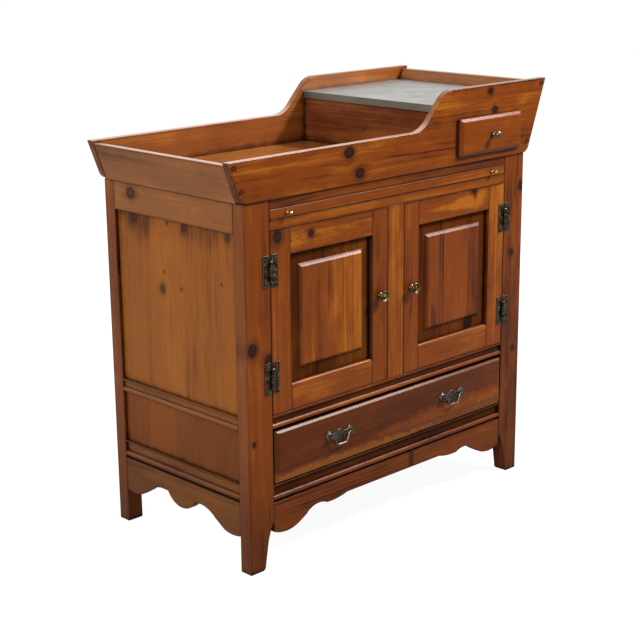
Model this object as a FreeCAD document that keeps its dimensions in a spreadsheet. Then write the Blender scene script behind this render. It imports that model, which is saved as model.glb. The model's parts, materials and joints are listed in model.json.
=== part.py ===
import FreeCAD, Part
import os
from types import SimpleNamespace

import Sketcher

# Dry sink cabinet in antique pine. X runs along the front, Y from the front to the back, Z up.
# The pieces are drawn with X = 0 at the middle of the carcase, Y = 0 at the face of the front posts
# and Z = 0 at the floor. Left-hand pieces are drawn, and right-hand ones are their mirror images.

doc = FreeCAD.newDocument("dry_sink_cabinet")

sizes = {
    # carcase posts and feet
    "carcase_width": 920,
    "carcase_depth": 470,
    "carcase_height": 823,
    "front_post_width": 71,
    "back_post_width": 41,
    "post_depth": 34,
    "foot_width": 44,
    "foot_toe_radius": 10,
    "ankle_width": 51,
    "ankle_height": 53,
    "knee_height": 110,
    # front frame, from the top down; the door openings take what is left
    "top_rail_height": 20,
    "slide_opening_height": 24,
    "slide_rail_height": 21,
    "mid_rail_height": 33,
    "drawer_opening_height": 127,
    "bottom_rail_height": 41,
    "apron_top_height": 150,
    "center_stile_width": 52,
    # side frames, from the top down
    "side_rail_thickness": 20,
    "side_top_rail_height": 66,
    "side_lower_opening_height": 119,
    "side_bottom_rail_height": 43,
    "side_apron_rise": 12,
    "side_panel_recess": 9,
    "side_panel_thickness": 8,
    "panel_groove_depth": 7,
    # mouldings run along the rails
    "bead_radius": 6.5,
    "mid_lip_height": 5,
    "mid_hollow_depth": 5.5,
    "mid_quirk_height": 1,
    "bottom_lip_height": 2,
    "bottom_hollow_depth": 8,
    "bottom_quirk_height": 4,
    # front apron, measured in from the posts and up from the floor
    "apron_thickness": 18,
    "apron_setback": 1,
    "front_lobe_height": 82,
    "front_lobe_width": 75,
    "front_rise_in": 99,
    "front_rise_height": 95,
    "front_dip_in": 164,
    "front_dip_height": 104,
    "front_flat_in": 229,
    "front_flat_height": 111,
    # side aprons, measured in from the posts and up from the floor
    "side_lobe_width": 54,
    "side_lobe_height": 83,
    "side_rise_in": 84,
    "side_rise_height": 101,
    "side_crest_in": 128,
    "side_crest_height": 120,
    "side_drop_half_width": 49,
    # back and inside boards
    "back_rail_thickness": 22,
    "back_board_thickness": 12,
    "back_board_setback": 5,
    "back_board_count": 5,
    "inner_board_thickness": 18,
    "shelf_height_above_floor": 194,
    "shelf_setback": 26,
    "cleat_size": 20,
    "runner_base_height": 19.5,
    "runner_lap": 24,
    "runner_guide_height": 40,
    "running_clearance": 0.5,
    "seat_gap": 0.3,
    # doors
    "door_gap": 1.5,
    "door_thickness": 20,
    "hinge_stile_width": 57,
    "meeting_stile_width": 50,
    "door_top_rail_height": 56.5,
    "door_bottom_rail_height": 60,
    "door_panel_thickness": 6,
    "door_panel_recess": 10,
    "door_panel_margin": 27,
    "door_panel_slope": 2,
    "door_panel_shoulder": 8,
    "door_field_setback": 1,
    "door_knob_height": 206,
    "door_knob_radius": 13.2,
    "door_knob_collar_radius": 8,
    "door_knob_collar_length": 5,
    "door_knob_neck_radius": 4.5,
    "door_knob_neck_length": 5,
    "door_knob_head_length": 8,
    "door_knob_ring_width": 2,
    "catch_width": 22,
    "catch_height": 36,
    "catch_below_opening": 48,
    # hinges
    "hinge_height": 70,
    "hinge_half_width": 21,
    "hinge_leaf_inner": 5,
    "hinge_leaf_thickness": 1.8,
    "hinge_barrel_height": 44,
    "hinge_barrel_radius": 4,
    "hinge_pin_radius": 1.6,
    "hinge_pin_clearance": 0.35,
    "hinge_pin_head_radius": 3,
    "hinge_pin_head_height": 2,
    "hinge_inset": 86,
    "hinge_screw_out": 13.5,
    "hinge_screw_spacing": 26,
    "screw_head_radius": 3.2,
    "screw_head_height": 0.9,
    "screw_shank_radius": 1.5,
    "screw_length": 12,
    # wide drawer
    "drawer_gap": 3,
    "drawer_front_thickness": 18,
    "drawer_front_proud": 6,
    "drawer_end_bevel": 10,
    "drawer_top_bevel": 6,
    "drawer_bottom_bevel": 26,
    "drawer_box_lift": 1.5,
    "drawer_box_height": 104,
    "drawer_back_gap": 23,
    "drawer_side_thickness": 14,
    "drawer_bottom_thickness": 6,
    "drawer_bottom_lift": 8,
    "bottom_groove_depth": 6,
    # bail pulls
    "pull_inset": 193,
    "pull_height": 70,
    "pull_plate_width": 88,
    "pull_plate_height": 32,
    "pull_plate_thickness": 1.5,
    "pull_post_spacing": 64,
    "pull_post_radius": 5,
    "pull_post_length": 12.5,
    "pull_pivot_out": 8,
    "bail_rod_radius": 2.2,
    "bail_clearance": 0.4,
    "bail_drop": 22,
    "bail_splay": 20,
    "bail_shoulder_radius": 3.2,
    "bail_grip_radius": 8,
    # slide-out board
    "slide_gap": 1,
    "slide_back_gap": 32,
    "slide_knob_inset": 51,
    "slide_knob_bead_radius": 3.8,
    "slide_knob_bead_length": 4,
    "slide_knob_neck_radius": 2,
    "slide_knob_neck_end": 8.5,
    "slide_knob_radius": 4.5,
    # tray
    "tray_board_thickness": 18,
    "tray_front_overhang": 4,
    "tray_side_overhang": 9,
    "tray_floor_thickness": 20,
    "tray_low_height": 91,
    "tray_high_height": 177,
    "tray_flare": 20.56,
    "tray_corner_radius": 24,
    "tray_end_inset": 2,
    "tray_end_drop": 7,
    "ramp_foot_from_side": 375,
    "ramp_angle": 47,
    "ramp_foot_radius": 70,
    "ramp_top_radius": 57,
    "plug_radius": 5.5,
    "plug_depth": 4,
    "plug_up": 26,
    "plug_below_end": 7,
    # raised deck of the tray
    "divider_from_side": 310,
    "divider_thickness": 15,
    "deck_height": 123,
    "deck_thickness": 17,
    "deck_nosing": 1,
    "zinc_thickness": 1,
    # small tray drawer
    "tray_drawer_from_divider": 49,
    "tray_drawer_from_side": 38,
    "tray_drawer_lift": 7,
    "tray_drawer_opening_height": 70,
    "tray_drawer_lap": 10,
    "tray_drawer_proud": 13,
    "tray_drawer_bevel": 8,
    "tray_drawer_bevel_depth": 6,
    "tray_drawer_clearance": 1,
    "tray_drawer_back_gap": 78,
    "tray_drawer_side": 10,
    "tray_drawer_bottom": 5,
    "tray_runner_width": 14,
    "tray_runner_guide": 20,
    "tray_knob_radius": 9,
    "tray_knob_base_radius": 5,
    "tray_knob_base_length": 8,
    "tray_knob_neck_radius": 3,
    "tray_knob_neck_length": 6,
    "tray_knob_flare_length": 4,
    "tray_knob_cap_length": 6,
}

sheet = doc.addObject("Spreadsheet::Sheet", "Sizes")
for row, (alias, number) in enumerate(sizes.items(), 1):
    sheet.set(f"A{row}", alias)
    sheet.set(f"B{row}", str(number))
    sheet.setAlias(f"B{row}", alias)
doc.recompute()


# Rules: lengths written over the sheet, so that what is worked out from a size stays bound to it.

class Rule:
    """A length as an expression over the sheet; sums and products of rules are rules too."""

    def __init__(self, text):
        self.text = str(text)

    def __str__(self):
        return self.text

    def __add__(self, other):
        return Rule(f"({self} + {other})")

    def __radd__(self, other):
        return Rule(f"({other} + {self})")

    def __sub__(self, other):
        return Rule(f"({self} - {other})")

    def __rsub__(self, other):
        return Rule(f"({other} - {self})")

    def __mul__(self, other):
        return Rule(f"({self} * {other})")

    def __rmul__(self, other):
        return Rule(f"({other} * {self})")

    def __truediv__(self, other):
        return Rule(f"({self} / {other})")

    def __neg__(self):
        return Rule(f"(0 - {self})")


def value(rule):
    return float(sheet.evalExpression(str(rule)))


def root(rule):
    return Rule(f"sqrt({rule})")


def tangent(degrees):
    return Rule(f"tan({degrees})")


def sine(degrees):
    return Rule(f"sin({degrees})")


def cosine(degrees):
    return Rule(f"cos({degrees})")


dims = SimpleNamespace(**{alias: Rule(f"Sizes.{alias}") for alias in sizes})


# Ways of making a piece.

# A bulge is the tangent of a quarter of an arc's angle.
QUARTER_ARC = 0.4142
ROUND_ARC = 0.33
SHALLOW_ARC = 0.15


def dome(rise, radius):
    """Bulge of a round cap that rises this far over this radius."""
    return (root(rise * rise + radius * radius) - radius) / rise


def place(piece, x=0, y=0, z=0):
    for axis, rule in zip("xyz", (x, y, z)):
        piece.setExpression(f".Placement.Base.{axis}", str(rule))
    return piece


def block(name, x, y, z):
    """A plain board between two X, two Y and two Z places."""
    piece = doc.addObject("Part::Box", name)
    for side, (low, high) in zip(("Length", "Width", "Height"), (x, y, z)):
        piece.setExpression(side, str(Rule(high) - low))
    return place(piece, x[0], y[0], z[0])


def wedge(name, front_x, back_x, front_y, back_y, front_z, back_z):
    """A block whose front face is smaller than its back face."""
    piece = doc.addObject("Part::Wedge", name)
    bounds = {
        "Xmin": front_x[0], "Xmax": front_x[1], "X2min": back_x[0], "X2max": back_x[1],
        "Ymin": front_y, "Ymax": back_y,
        "Zmin": front_z[0], "Zmax": front_z[1], "Z2min": back_z[0], "Z2max": back_z[1],
    }
    for bound, rule in bounds.items():
        piece.setExpression(bound, str(rule))
    return piece


TURNS = {
    "X": FreeCAD.Rotation(FreeCAD.Vector(0, 1, 0), 90),
    "Y": FreeCAD.Rotation(FreeCAD.Vector(1, 0, 0), -90),
    "Z": FreeCAD.Rotation(),
}


def rod(name, axis, start, radius, length):
    """A round bar that runs from its start along +X, +Y or +Z."""
    piece = doc.addObject("Part::Cylinder", name)
    piece.Placement.Rotation = TURNS[axis]
    piece.setExpression("Radius", str(radius))
    piece.setExpression("Height", str(length))
    return place(piece, *start)


def fuse(name, *pieces):
    joined = doc.addObject("Part::MultiFuse", name)
    joined.Shapes = list(pieces)
    joined.Refine = True
    return joined


def group(name, pieces):
    together = doc.addObject("Part::Compound", name)
    together.Links = list(pieces)
    return together


def cut(name, piece, *tools):
    """The piece less the tools, which stay as they are."""
    less = doc.addObject("Part::Cut", name)
    less.Base = piece
    less.Tool = tools[0] if len(tools) == 1 else group(f"{name}_tools", tools)
    return less


def mirror(piece, about=0):
    """The piece seen in a mirror across the plane X = about."""
    twin = doc.addObject("Part::Mirroring", f"{piece.Name}_twin")
    twin.Source = piece
    twin.Normal = FreeCAD.Vector(1, 0, 0)
    twin.setExpression(".Base.x", str(about))
    return twin


def pair(name, piece, about=0):
    return group(name, [piece, mirror(piece, about)])


def plane_of(body, role):
    return next(feature for feature in body.Origin.OriginFeatures if feature.Role == role)


def pin_point(sketch, element, end, point, tag):
    """Hold a sketch point at its place from the sketch's origin."""
    for kind, rule in zip(("DistanceX", "DistanceY"), point):
        number = sketch.addConstraint(Sketcher.Constraint(kind, -1, 1, element, end, value(rule)))
        sketch.renameConstraint(number, f"{kind}_{tag}")
        sketch.setExpression(f"Constraints.{kind}_{tag}", str(rule))


def trace(sketch, corners, closed=True):
    """Draw a run of corners (across, up) or (across, up, bulge). A bulge bends the edge that leaves
    its corner: it is the tangent of a quarter of the arc's angle, plus to the left, minus to the right."""
    corners = [(corner[0], corner[1], corner[2] if len(corner) > 2 else 0) for corner in corners]
    edges = len(corners) if closed else len(corners) - 1
    ends = []
    for number in range(edges):
        across, up, bulge = corners[number]
        next_across, next_up, _ = corners[(number + 1) % len(corners)]
        start = FreeCAD.Vector(value(across), value(up), 0)
        finish = FreeCAD.Vector(value(next_across), value(next_up), 0)
        bend = value(bulge)
        if bend == 0:
            sketch.addGeometry(Part.LineSegment(start, finish))
            ends.append((1, 2))
            continue
        middle = (
            (Rule(across) + next_across + bulge * (Rule(next_up) - up)) / 2,
            (Rule(up) + next_up - bulge * (Rule(next_across) - across)) / 2,
        )
        through = FreeCAD.Vector(value(middle[0]), value(middle[1]), 0)
        counterclockwise = bend > 0
        first, last = (start, finish) if counterclockwise else (finish, start)
        sketch.addGeometry(Part.Arc(first, through, last))
        ends.append((1, 2) if counterclockwise else (2, 1))
        corners[number] = (across, up, middle)
    for number in range(edges if closed else edges - 1):
        following = (number + 1) % edges
        joint = Sketcher.Constraint("Coincident", number, ends[number][1], following, ends[following][0])
        sketch.addConstraint(joint)
    for number in range(edges):
        pin_point(sketch, number, ends[number][0], corners[number][:2], f"corner_{number}")
    if not closed:
        pin_point(sketch, edges - 1, ends[-1][1], corners[-1][:2], "last_corner")
    for number in range(edges):
        middle = corners[number][2]
        if not isinstance(middle, tuple):
            continue
        mark = sketch.addGeometry(Part.Point(FreeCAD.Vector(value(middle[0]), value(middle[1]), 0)), True)
        sketch.addConstraint(Sketcher.Constraint("PointOnObject", mark, 1, number))
        pin_point(sketch, mark, 1, middle, f"arc_{number}")


def drawn(body, name, role, corners, closed=True):
    sketch = body.newObject("Sketcher::SketchObject", name)
    sketch.AttachmentSupport = [(plane_of(body, role), "")]
    sketch.MapMode = "FlatFace"
    trace(sketch, corners, closed)
    return sketch


def sawn(name, role, corners, start, thickness):
    """A board sawn to an outline. On XZ_Plane it is thick along +Y, on YZ_Plane along +X."""
    body = doc.addObject("PartDesign::Body", name)
    pad = body.newObject("PartDesign::Pad", f"{name}_pad")
    pad.Profile = drawn(body, f"{name}_outline", role, corners)
    pad.Reversed = role == "XZ_Plane"
    pad.setExpression("Length", str(thickness))
    body.Tip = pad
    return place(body, y=start) if role == "XZ_Plane" else place(body, x=start)


def turned(name, corners, x, y, z):
    """A piece turned about a line along Y. Its corners are (forward, radius) from the place given, or
    (forward, radius, swell), where the edge that leaves the corner swells out or, if minus, hollows in."""
    body = doc.addObject("PartDesign::Body", name)
    profile = [
        (radius, -Rule(forward), *(-Rule(swell) for swell in bend))
        for forward, radius, *bend in corners
    ]
    sketch = drawn(body, f"{name}_profile", "XY_Plane", profile)
    spin = body.newObject("PartDesign::Revolution", f"{name}_spin")
    spin.Profile = sketch
    spin.ReferenceAxis = (sketch, ["V_Axis"])
    spin.Angle = 360
    body.Tip = spin
    return place(body, x, y, z)


def both_halves(half):
    """A closed outline from its right half, given from the bottom round to the top. Corners on the
    middle line are not repeated."""
    twin = []
    for number in range(len(half) - 1, 0, -1):
        across, up = half[number][:2]
        bulge = half[number - 1][2] if len(half[number - 1]) > 2 else 0
        twin.append((-Rule(across), up, bulge))
    start = list(half)
    if value(half[-1][0]) == 0:
        start = start[:-1]
    else:
        start[-1] = (*half[-1][:2], 0)
    if value(half[0][0]) != 0:
        twin.append((-Rule(half[0][0]), half[0][1], 0))
    return start + twin


nodes = []


def node(name, *pieces):
    """A sub-part: its solids together, under its own label, set in the cabinet's frame."""
    part = group(name, pieces)
    part.Label = name
    nodes.append(place(part, frame_x, frame_y))
    return part


# Places shared by several pieces.

post_edge = dims.carcase_width / 2 - dims.front_post_width
side_face = dims.carcase_width / 2
side_inner = side_face - dims.side_rail_thickness
back_post_edge = side_face - dims.back_post_width
back_post_front = dims.carcase_depth - dims.post_depth
side_run = (dims.post_depth, back_post_front)

slide_top = dims.carcase_height - dims.top_rail_height
slide_bottom = slide_top - dims.slide_opening_height
door_top = slide_bottom - dims.slide_rail_height
apron_top = dims.apron_top_height
drawer_bottom = apron_top + dims.bottom_rail_height
drawer_top = drawer_bottom + dims.drawer_opening_height
door_bottom = drawer_top + dims.mid_rail_height

side_upper_top = dims.carcase_height - dims.side_top_rail_height
side_apron_top = apron_top + dims.side_apron_rise
side_lower_bottom = side_apron_top + dims.side_bottom_rail_height
side_lower_top = side_lower_bottom + dims.side_lower_opening_height
side_upper_bottom = side_lower_top + dims.mid_rail_height

tray_bottom = dims.carcase_height
tray_floor_top = tray_bottom + dims.tray_floor_thickness
tray_low_top = tray_bottom + dims.tray_low_height
tray_high_top = tray_bottom + dims.tray_high_height
tray_front = -dims.tray_front_overhang
tray_front_back = tray_front + dims.tray_board_thickness
tray_back_front = dims.carcase_depth - dims.tray_board_thickness
tray_run = (tray_front_back, tray_back_front)
tray_half = side_face + dims.tray_side_overhang
flare_tangent = tangent(dims.tray_flare)

# The frame's origin is under the middle of the whole cabinet: the high end of the tray reaches
# further than the low end, and the tray drawer's knob further than anything else in front.
left_reach = tray_half + dims.tray_low_height * flare_tangent
right_reach = tray_half + dims.tray_high_height * flare_tangent
tray_knob_neck_end = dims.tray_knob_base_length + dims.tray_knob_neck_length
tray_knob_reach = tray_knob_neck_end + dims.tray_knob_flare_length + dims.tray_knob_cap_length
front_reach = dims.tray_front_overhang + dims.tray_drawer_proud + tray_knob_reach
frame_x = (left_reach - right_reach) / 2
frame_y = (front_reach - dims.carcase_depth) / 2


# Posts, with the front ones' feet sawn to a curve on the inner edge.

def depth_profile(top, height, lip, hollow, quirk, thickness):
    """Section of a moulded rail as (in from its face, up): a lip, a long hollow and a round bead."""
    bottom = top - height
    bead_height = bottom + quirk + dims.bead_radius
    half_chord = root(hollow * (2 * dims.bead_radius - hollow))
    return [
        (0, top),
        (0, top - lip),
        (hollow, top - lip),
        (hollow, bead_height + half_chord, hollow / half_chord),
        (hollow, bead_height - half_chord),
        (hollow, bottom),
        (thickness, bottom),
        (thickness, top),
    ]


def side_panel(name, bottom, top):
    """A thin board held in grooves in the posts and rails round it."""
    face = dims.side_panel_recess - side_face
    groove = dims.panel_groove_depth
    return block(
        name,
        x=(face, face + dims.side_panel_thickness),
        y=(side_run[0] - groove, side_run[1] + groove),
        z=(bottom - groove, top + groove),
    )


left_upper_panel = side_panel("left_upper_panel", side_upper_bottom, side_upper_top)
left_lower_panel = side_panel("left_lower_panel", side_lower_bottom, side_lower_top)
left_panels = group("left_panels", [left_upper_panel, left_lower_panel])


def hinge_screws(name, toward):
    """Three domed screws per hinge, on the leaf on the given side of the pins (-1 or 1)."""
    screws = []
    for hinge, height in enumerate(hinge_heights):
        for row in (-1, 0, 1):
            x = toward * dims.hinge_screw_out - post_edge
            z = height + row * dims.hinge_screw_spacing
            tag = f"{name}_{hinge}_{row + 1}"
            shank = rod(f"{tag}_shank", "Y", (x, -dims.hinge_leaf_thickness, z),
                        dims.screw_shank_radius, dims.screw_length)
            head = rod(f"{tag}_head", "Y", (x, -dims.hinge_leaf_thickness - dims.screw_head_height, z),
                       dims.screw_head_radius, dims.screw_head_height)
            screws.append(fuse(tag, shank, head))
    return group(name, screws)


hinge_heights = (door_bottom + dims.hinge_inset, door_top - dims.hinge_inset)
left_frame_screws = hinge_screws("left_frame_screws", -1)

ANKLE_BEND = 0.1
foot_outline = [
    (-side_face, 0),
    (dims.foot_width - dims.foot_toe_radius - side_face, 0, QUARTER_ARC),
    (dims.foot_width - side_face, dims.foot_toe_radius),
    (dims.ankle_width - side_face, dims.ankle_height, -ANKLE_BEND),
    (-post_edge, dims.knee_height),
    (-post_edge, dims.carcase_height),
    (-side_face, dims.carcase_height),
]
front_post = sawn("front_post", "XZ_Plane", foot_outline, 0, dims.post_depth)
front_post_left = cut("front_post_left", front_post, left_panels, left_frame_screws)
back_post = block(
    "back_post",
    x=(-side_face, -back_post_edge),
    y=(back_post_front, dims.carcase_depth),
    z=(0, dims.carcase_height),
)
back_post_left = cut("back_post_left", back_post, left_panels)
node("post_front_left", front_post_left)
node("post_front_right", mirror(front_post_left))
node("post_back_left", back_post_left)
node("post_back_right", mirror(back_post_left))


# Side frames: moulded rails between the posts, with flat panels set back in grooves.

def side_rail(name, top, height, lip, hollow, quirk):
    """A moulded rail of the left side, with its face at the posts' side face."""
    section = depth_profile(top, height, lip, hollow, quirk, dims.side_rail_thickness)
    corners = [(corner[0] - side_face, *corner[1:]) for corner in section]
    run = Rule(side_run[1]) - side_run[0]
    return cut(f"{name}_grooved", sawn(name, "XZ_Plane", corners, side_run[0], run), left_panels)


left_top_rail = block(
    "left_top_rail", x=(-side_face, -side_inner), y=side_run, z=(side_upper_top, dims.carcase_height)
)
left_mid_rail = side_rail(
    "left_mid_rail", side_upper_bottom, dims.mid_rail_height,
    dims.mid_lip_height, dims.mid_hollow_depth, dims.mid_quirk_height,
)
left_bottom_rail = side_rail(
    "left_bottom_rail", side_lower_bottom, dims.side_bottom_rail_height,
    dims.bottom_lip_height, dims.bottom_hollow_depth, dims.bottom_quirk_height,
)
node("side_top_rails", pair("top_rail_pair", cut("left_top_rail_grooved", left_top_rail, left_panels)))
node("side_mid_rails", pair("mid_rail_pair", left_mid_rail))
node("side_bottom_rails", pair("bottom_rail_pair", left_bottom_rail))
node("side_upper_panels", pair("upper_panel_pair", left_upper_panel))
node("side_lower_panels", pair("lower_panel_pair", left_lower_panel))

# Side apron: a lobe by each post, a crest, and a round drop in the middle.
side_middle = (Rule(side_run[0]) + side_run[1]) / 2
side_half = (Rule(side_run[1]) - side_run[0]) / 2
SIDE_DROP_BEND = 0.57
side_scallop = [
    (dims.side_drop_half_width, dims.side_crest_height),
    (side_half - dims.side_crest_in, dims.side_crest_height, -SHALLOW_ARC),
    (side_half - dims.side_rise_in, dims.side_rise_height),
    (side_half - dims.side_lobe_width, dims.side_lobe_height, SHALLOW_ARC),
    (side_half, dims.side_lobe_height),
    (side_half, side_apron_top),
]
scalloped = both_halves(side_scallop)
scalloped[-1] = (*scalloped[-1][:2], SIDE_DROP_BEND)
scalloped = [(Rule(corner[0]) + side_middle, *corner[1:]) for corner in scalloped]
left_side_apron = sawn(
    "left_side_apron", "YZ_Plane", scalloped, dims.apron_setback - side_face, dims.apron_thickness
)
node("side_aprons", pair("side_apron_pair", left_side_apron))


# Front frame: rails between the front posts, with the centre stile between the doors.

def front_rail(name, bottom, top):
    return block(name, x=(-post_edge, post_edge), y=(0, dims.post_depth), z=(bottom, top))


def moulded_front_rail(name, top, height, lip, hollow, quirk):
    section = depth_profile(top, height, lip, hollow, quirk, dims.post_depth)
    return sawn(name, "YZ_Plane", section, -post_edge, 2 * post_edge)


half_stile = dims.center_stile_width / 2
node("front_top_rail", front_rail("top_rail", slide_top, dims.carcase_height))
node("front_slide_rail", front_rail("slide_rail", door_top, slide_bottom))
node("center_stile", block(
    "center_stile_board", x=(-half_stile, half_stile), y=(0, dims.post_depth), z=(door_bottom, door_top)
))
node("front_mid_rail", moulded_front_rail(
    "mid_rail", door_bottom, dims.mid_rail_height,
    dims.mid_lip_height, dims.mid_hollow_depth, dims.mid_quirk_height,
))
node("front_bottom_rail", moulded_front_rail(
    "bottom_rail", drawer_bottom, dims.bottom_rail_height,
    dims.bottom_lip_height, dims.bottom_hollow_depth, dims.bottom_quirk_height,
))

# Front apron: a lobe by each post, a rounded crest and a shallow dip, then straight across.
FRONT_DIP_BEND = 0.09
FRONT_LOBE_BEND = 0.22
front_scallop = [
    (post_edge - dims.front_flat_in, dims.front_flat_height, FRONT_DIP_BEND),
    (post_edge - dims.front_dip_in, dims.front_dip_height, -ROUND_ARC),
    (post_edge - dims.front_rise_in, dims.front_rise_height),
    (post_edge - dims.front_lobe_width, dims.front_lobe_height, FRONT_LOBE_BEND),
    (post_edge, dims.front_lobe_height),
    (post_edge, apron_top),
]
node("front_apron", sawn(
    "front_apron_board", "XZ_Plane", both_halves(front_scallop), dims.apron_setback, dims.apron_thickness
))


# Back: upright boards in grooves in an upper and a lower rail.

back_face = back_post_front + dims.back_board_setback
board_count = Rule(f"round({dims.back_board_count})")
board_pitch = 2 * back_post_edge / board_count
upright_boards = group("upright_boards", [
    block(
        f"upright_board_{number}",
        x=(number * board_pitch - back_post_edge, (number + 1) * board_pitch - back_post_edge),
        y=(back_face, back_face + dims.back_board_thickness),
        z=(side_lower_bottom - dims.panel_groove_depth, side_upper_top + dims.panel_groove_depth),
    )
    for number in range(round(value(board_count)))
])


def back_rail(name, bottom, top):
    y = (back_post_front, back_post_front + dims.back_rail_thickness)
    return block(name, x=(-back_post_edge, back_post_edge), y=y, z=(bottom, top))


plain_back_rails = group("plain_back_rails", [
    back_rail("back_top_rail", side_upper_top, dims.carcase_height),
    back_rail("back_bottom_rail", side_apron_top, side_lower_bottom),
])
node("back_boards", upright_boards)
node("back_rails", cut("grooved_back_rails", plain_back_rails, upright_boards))


# Inside: the cupboard's floor, a shelf on cleats, and runners for the drawer and the slide-out board.

panel_inner = side_face - dims.side_panel_recess - dims.side_panel_thickness
shelf_bottom = door_bottom + dims.shelf_height_above_floor
node("cupboard_floor", block(
    "cupboard_floor_board",
    x=(-side_inner, side_inner), y=side_run, z=(door_bottom - dims.inner_board_thickness, door_bottom),
))
node("cupboard_shelf", block(
    "cupboard_shelf_board",
    x=(-side_inner, side_inner),
    y=(dims.post_depth + dims.shelf_setback, back_post_front),
    z=(shelf_bottom, shelf_bottom + dims.inner_board_thickness),
))
node("shelf_cleats", pair("cleat_pair", block(
    "left_cleat",
    x=(-panel_inner, dims.cleat_size - panel_inner),
    y=side_run,
    z=(shelf_bottom - dims.cleat_size, shelf_bottom),
)))


def corner_runner(name, seat, guide, base_height, guide_height):
    """An L-shaped rail down the left side: a base under the board's edge and a guide beside it."""
    corners = [
        (-side_inner, seat - base_height),
        (dims.runner_lap - guide, seat - base_height),
        (dims.runner_lap - guide, seat),
        (-guide, seat),
        (-guide, seat + guide_height),
        (-side_inner, seat + guide_height),
    ]
    return sawn(name, "XZ_Plane", corners, side_run[0], Rule(side_run[1]) - side_run[0])


slide_half = post_edge - dims.slide_gap
slide_board_bottom = slide_bottom + dims.slide_gap
slide_seat = slide_board_bottom - dims.seat_gap
node("slide_runners", pair("slide_runner_pair", corner_runner(
    "left_slide_runner", slide_seat, slide_half + dims.running_clearance,
    dims.runner_base_height, slide_top - slide_seat,
)))

drawer_half = post_edge - dims.drawer_gap
drawer_floor = drawer_bottom + dims.drawer_gap
box_bottom = drawer_floor + dims.drawer_box_lift
node("drawer_runners", pair("drawer_runner_pair", corner_runner(
    "left_drawer_runner", box_bottom - dims.seat_gap, drawer_half + dims.running_clearance,
    dims.runner_base_height, dims.runner_guide_height,
)))

# Door catches: a small block on each side of the centre stile, just behind its door.
catch_top = door_top - dims.catch_below_opening
node("door_catches", pair("catch_pair", block(
    "left_catch",
    x=(-half_stile - dims.catch_width, -half_stile),
    y=(dims.door_thickness + dims.seat_gap, dims.post_depth),
    z=(catch_top - dims.catch_height, catch_top),
)))


# Tray: a floor between flared front and back boards with an S-shaped step, and canted ends.

def flared(reach, height):
    """How far out the flared end has got at a height above the tray's bottom."""
    return reach + height * flare_tangent


def tray_outline():
    """The front and back boards' outline, from the low left corner round by the right."""
    ramp_foot = side_face - dims.ramp_foot_from_side
    corner_turn = 90 - dims.tray_flare
    corner_run = dims.tray_corner_radius * tangent(corner_turn / 2)
    corner_bulge = tangent(corner_turn / 4)
    corner_out = tray_half + corner_run * sine(dims.tray_flare)
    corner_up = tray_bottom + corner_run * cosine(dims.tray_flare)
    foot_run = dims.ramp_foot_radius * tangent(dims.ramp_angle / 2)
    top_run = dims.ramp_top_radius * tangent(dims.ramp_angle / 2)
    ramp_bulge = tangent(dims.ramp_angle / 4)
    ramp_cos = cosine(dims.ramp_angle)
    ramp_sin = sine(dims.ramp_angle)
    ramp_top = ramp_foot + (tray_high_top - tray_low_top) / tangent(dims.ramp_angle)
    return [
        (corner_run - tray_half, tray_bottom),
        (tray_half - corner_run, tray_bottom, corner_bulge),
        (corner_out, corner_up),
        (right_reach, tray_high_top),
        (ramp_top + top_run, tray_high_top, ramp_bulge),
        (ramp_top - top_run * ramp_cos, tray_high_top - top_run * ramp_sin),
        (ramp_foot + foot_run * ramp_cos, tray_low_top + foot_run * ramp_sin, -ramp_bulge),
        (ramp_foot - foot_run, tray_low_top),
        (-left_reach, tray_low_top),
        (-corner_out, corner_up, corner_bulge),
    ]


end_outer = tray_half - dims.tray_end_inset
end_slant = dims.tray_board_thickness / cosine(dims.tray_flare)
end_inner = end_outer - end_slant
left_end_height = dims.tray_low_height - dims.tray_end_drop
right_end_height = dims.tray_high_height - dims.tray_end_drop


def end_board(name, side, height):
    corners = [
        (side * end_outer, tray_bottom),
        (side * flared(end_outer, height), tray_bottom + height),
        (side * flared(end_inner, height), tray_bottom + height),
        (side * end_inner, tray_bottom),
    ]
    return sawn(name, "XZ_Plane", corners, tray_run[0], Rule(tray_run[1]) - tray_run[0])


def plugs(name, face):
    """Round wood plugs over the screws that hold the end boards, four to a board."""
    middle = end_outer - end_slant / 2
    places = [
        (side * flared(middle, height), tray_bottom + height)
        for side, end_height in ((-1, left_end_height), (1, right_end_height))
        for height in (dims.plug_up, end_height - dims.plug_below_end)
    ]
    return group(name, [
        rod(f"{name}_{number}", "Y", (x, face, z), dims.plug_radius, dims.plug_depth)
        for number, (x, z) in enumerate(places)
    ])


front_plugs = plugs("front_plugs", tray_front)
back_plugs = plugs("back_plugs", dims.carcase_depth - dims.plug_depth)

divider_left = side_face - dims.divider_from_side
divider_right = divider_left + dims.divider_thickness
opening_x = (divider_right + dims.tray_drawer_from_divider, side_face - dims.tray_drawer_from_side)
tray_drawer_middle = (opening_x[0] + opening_x[1]) / 2
half_opening = (opening_x[1] - opening_x[0]) / 2
tray_drawer_bottom = tray_floor_top + dims.tray_drawer_lift
tray_drawer_top = tray_drawer_bottom + dims.tray_drawer_opening_height
tray_drawer_opening = block(
    "tray_drawer_opening",
    x=opening_x,
    y=(tray_front, tray_front_back),
    z=(tray_drawer_bottom, tray_drawer_top),
)
front_board = sawn("front_board", "XZ_Plane", tray_outline(), tray_front, dims.tray_board_thickness)
back_board = sawn("back_board", "XZ_Plane", tray_outline(), tray_back_front, dims.tray_board_thickness)
floor_outline = [
    (-end_inner, tray_bottom),
    (end_inner, tray_bottom),
    (flared(end_inner, dims.tray_floor_thickness), tray_floor_top),
    (-flared(end_inner, dims.tray_floor_thickness), tray_floor_top),
]
node("tray_floor", sawn(
    "tray_floor_board", "XZ_Plane", floor_outline, tray_run[0], Rule(tray_run[1]) - tray_run[0]
))
node("tray_front_board", cut("front_board_opened", front_board, front_plugs, tray_drawer_opening))
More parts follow.
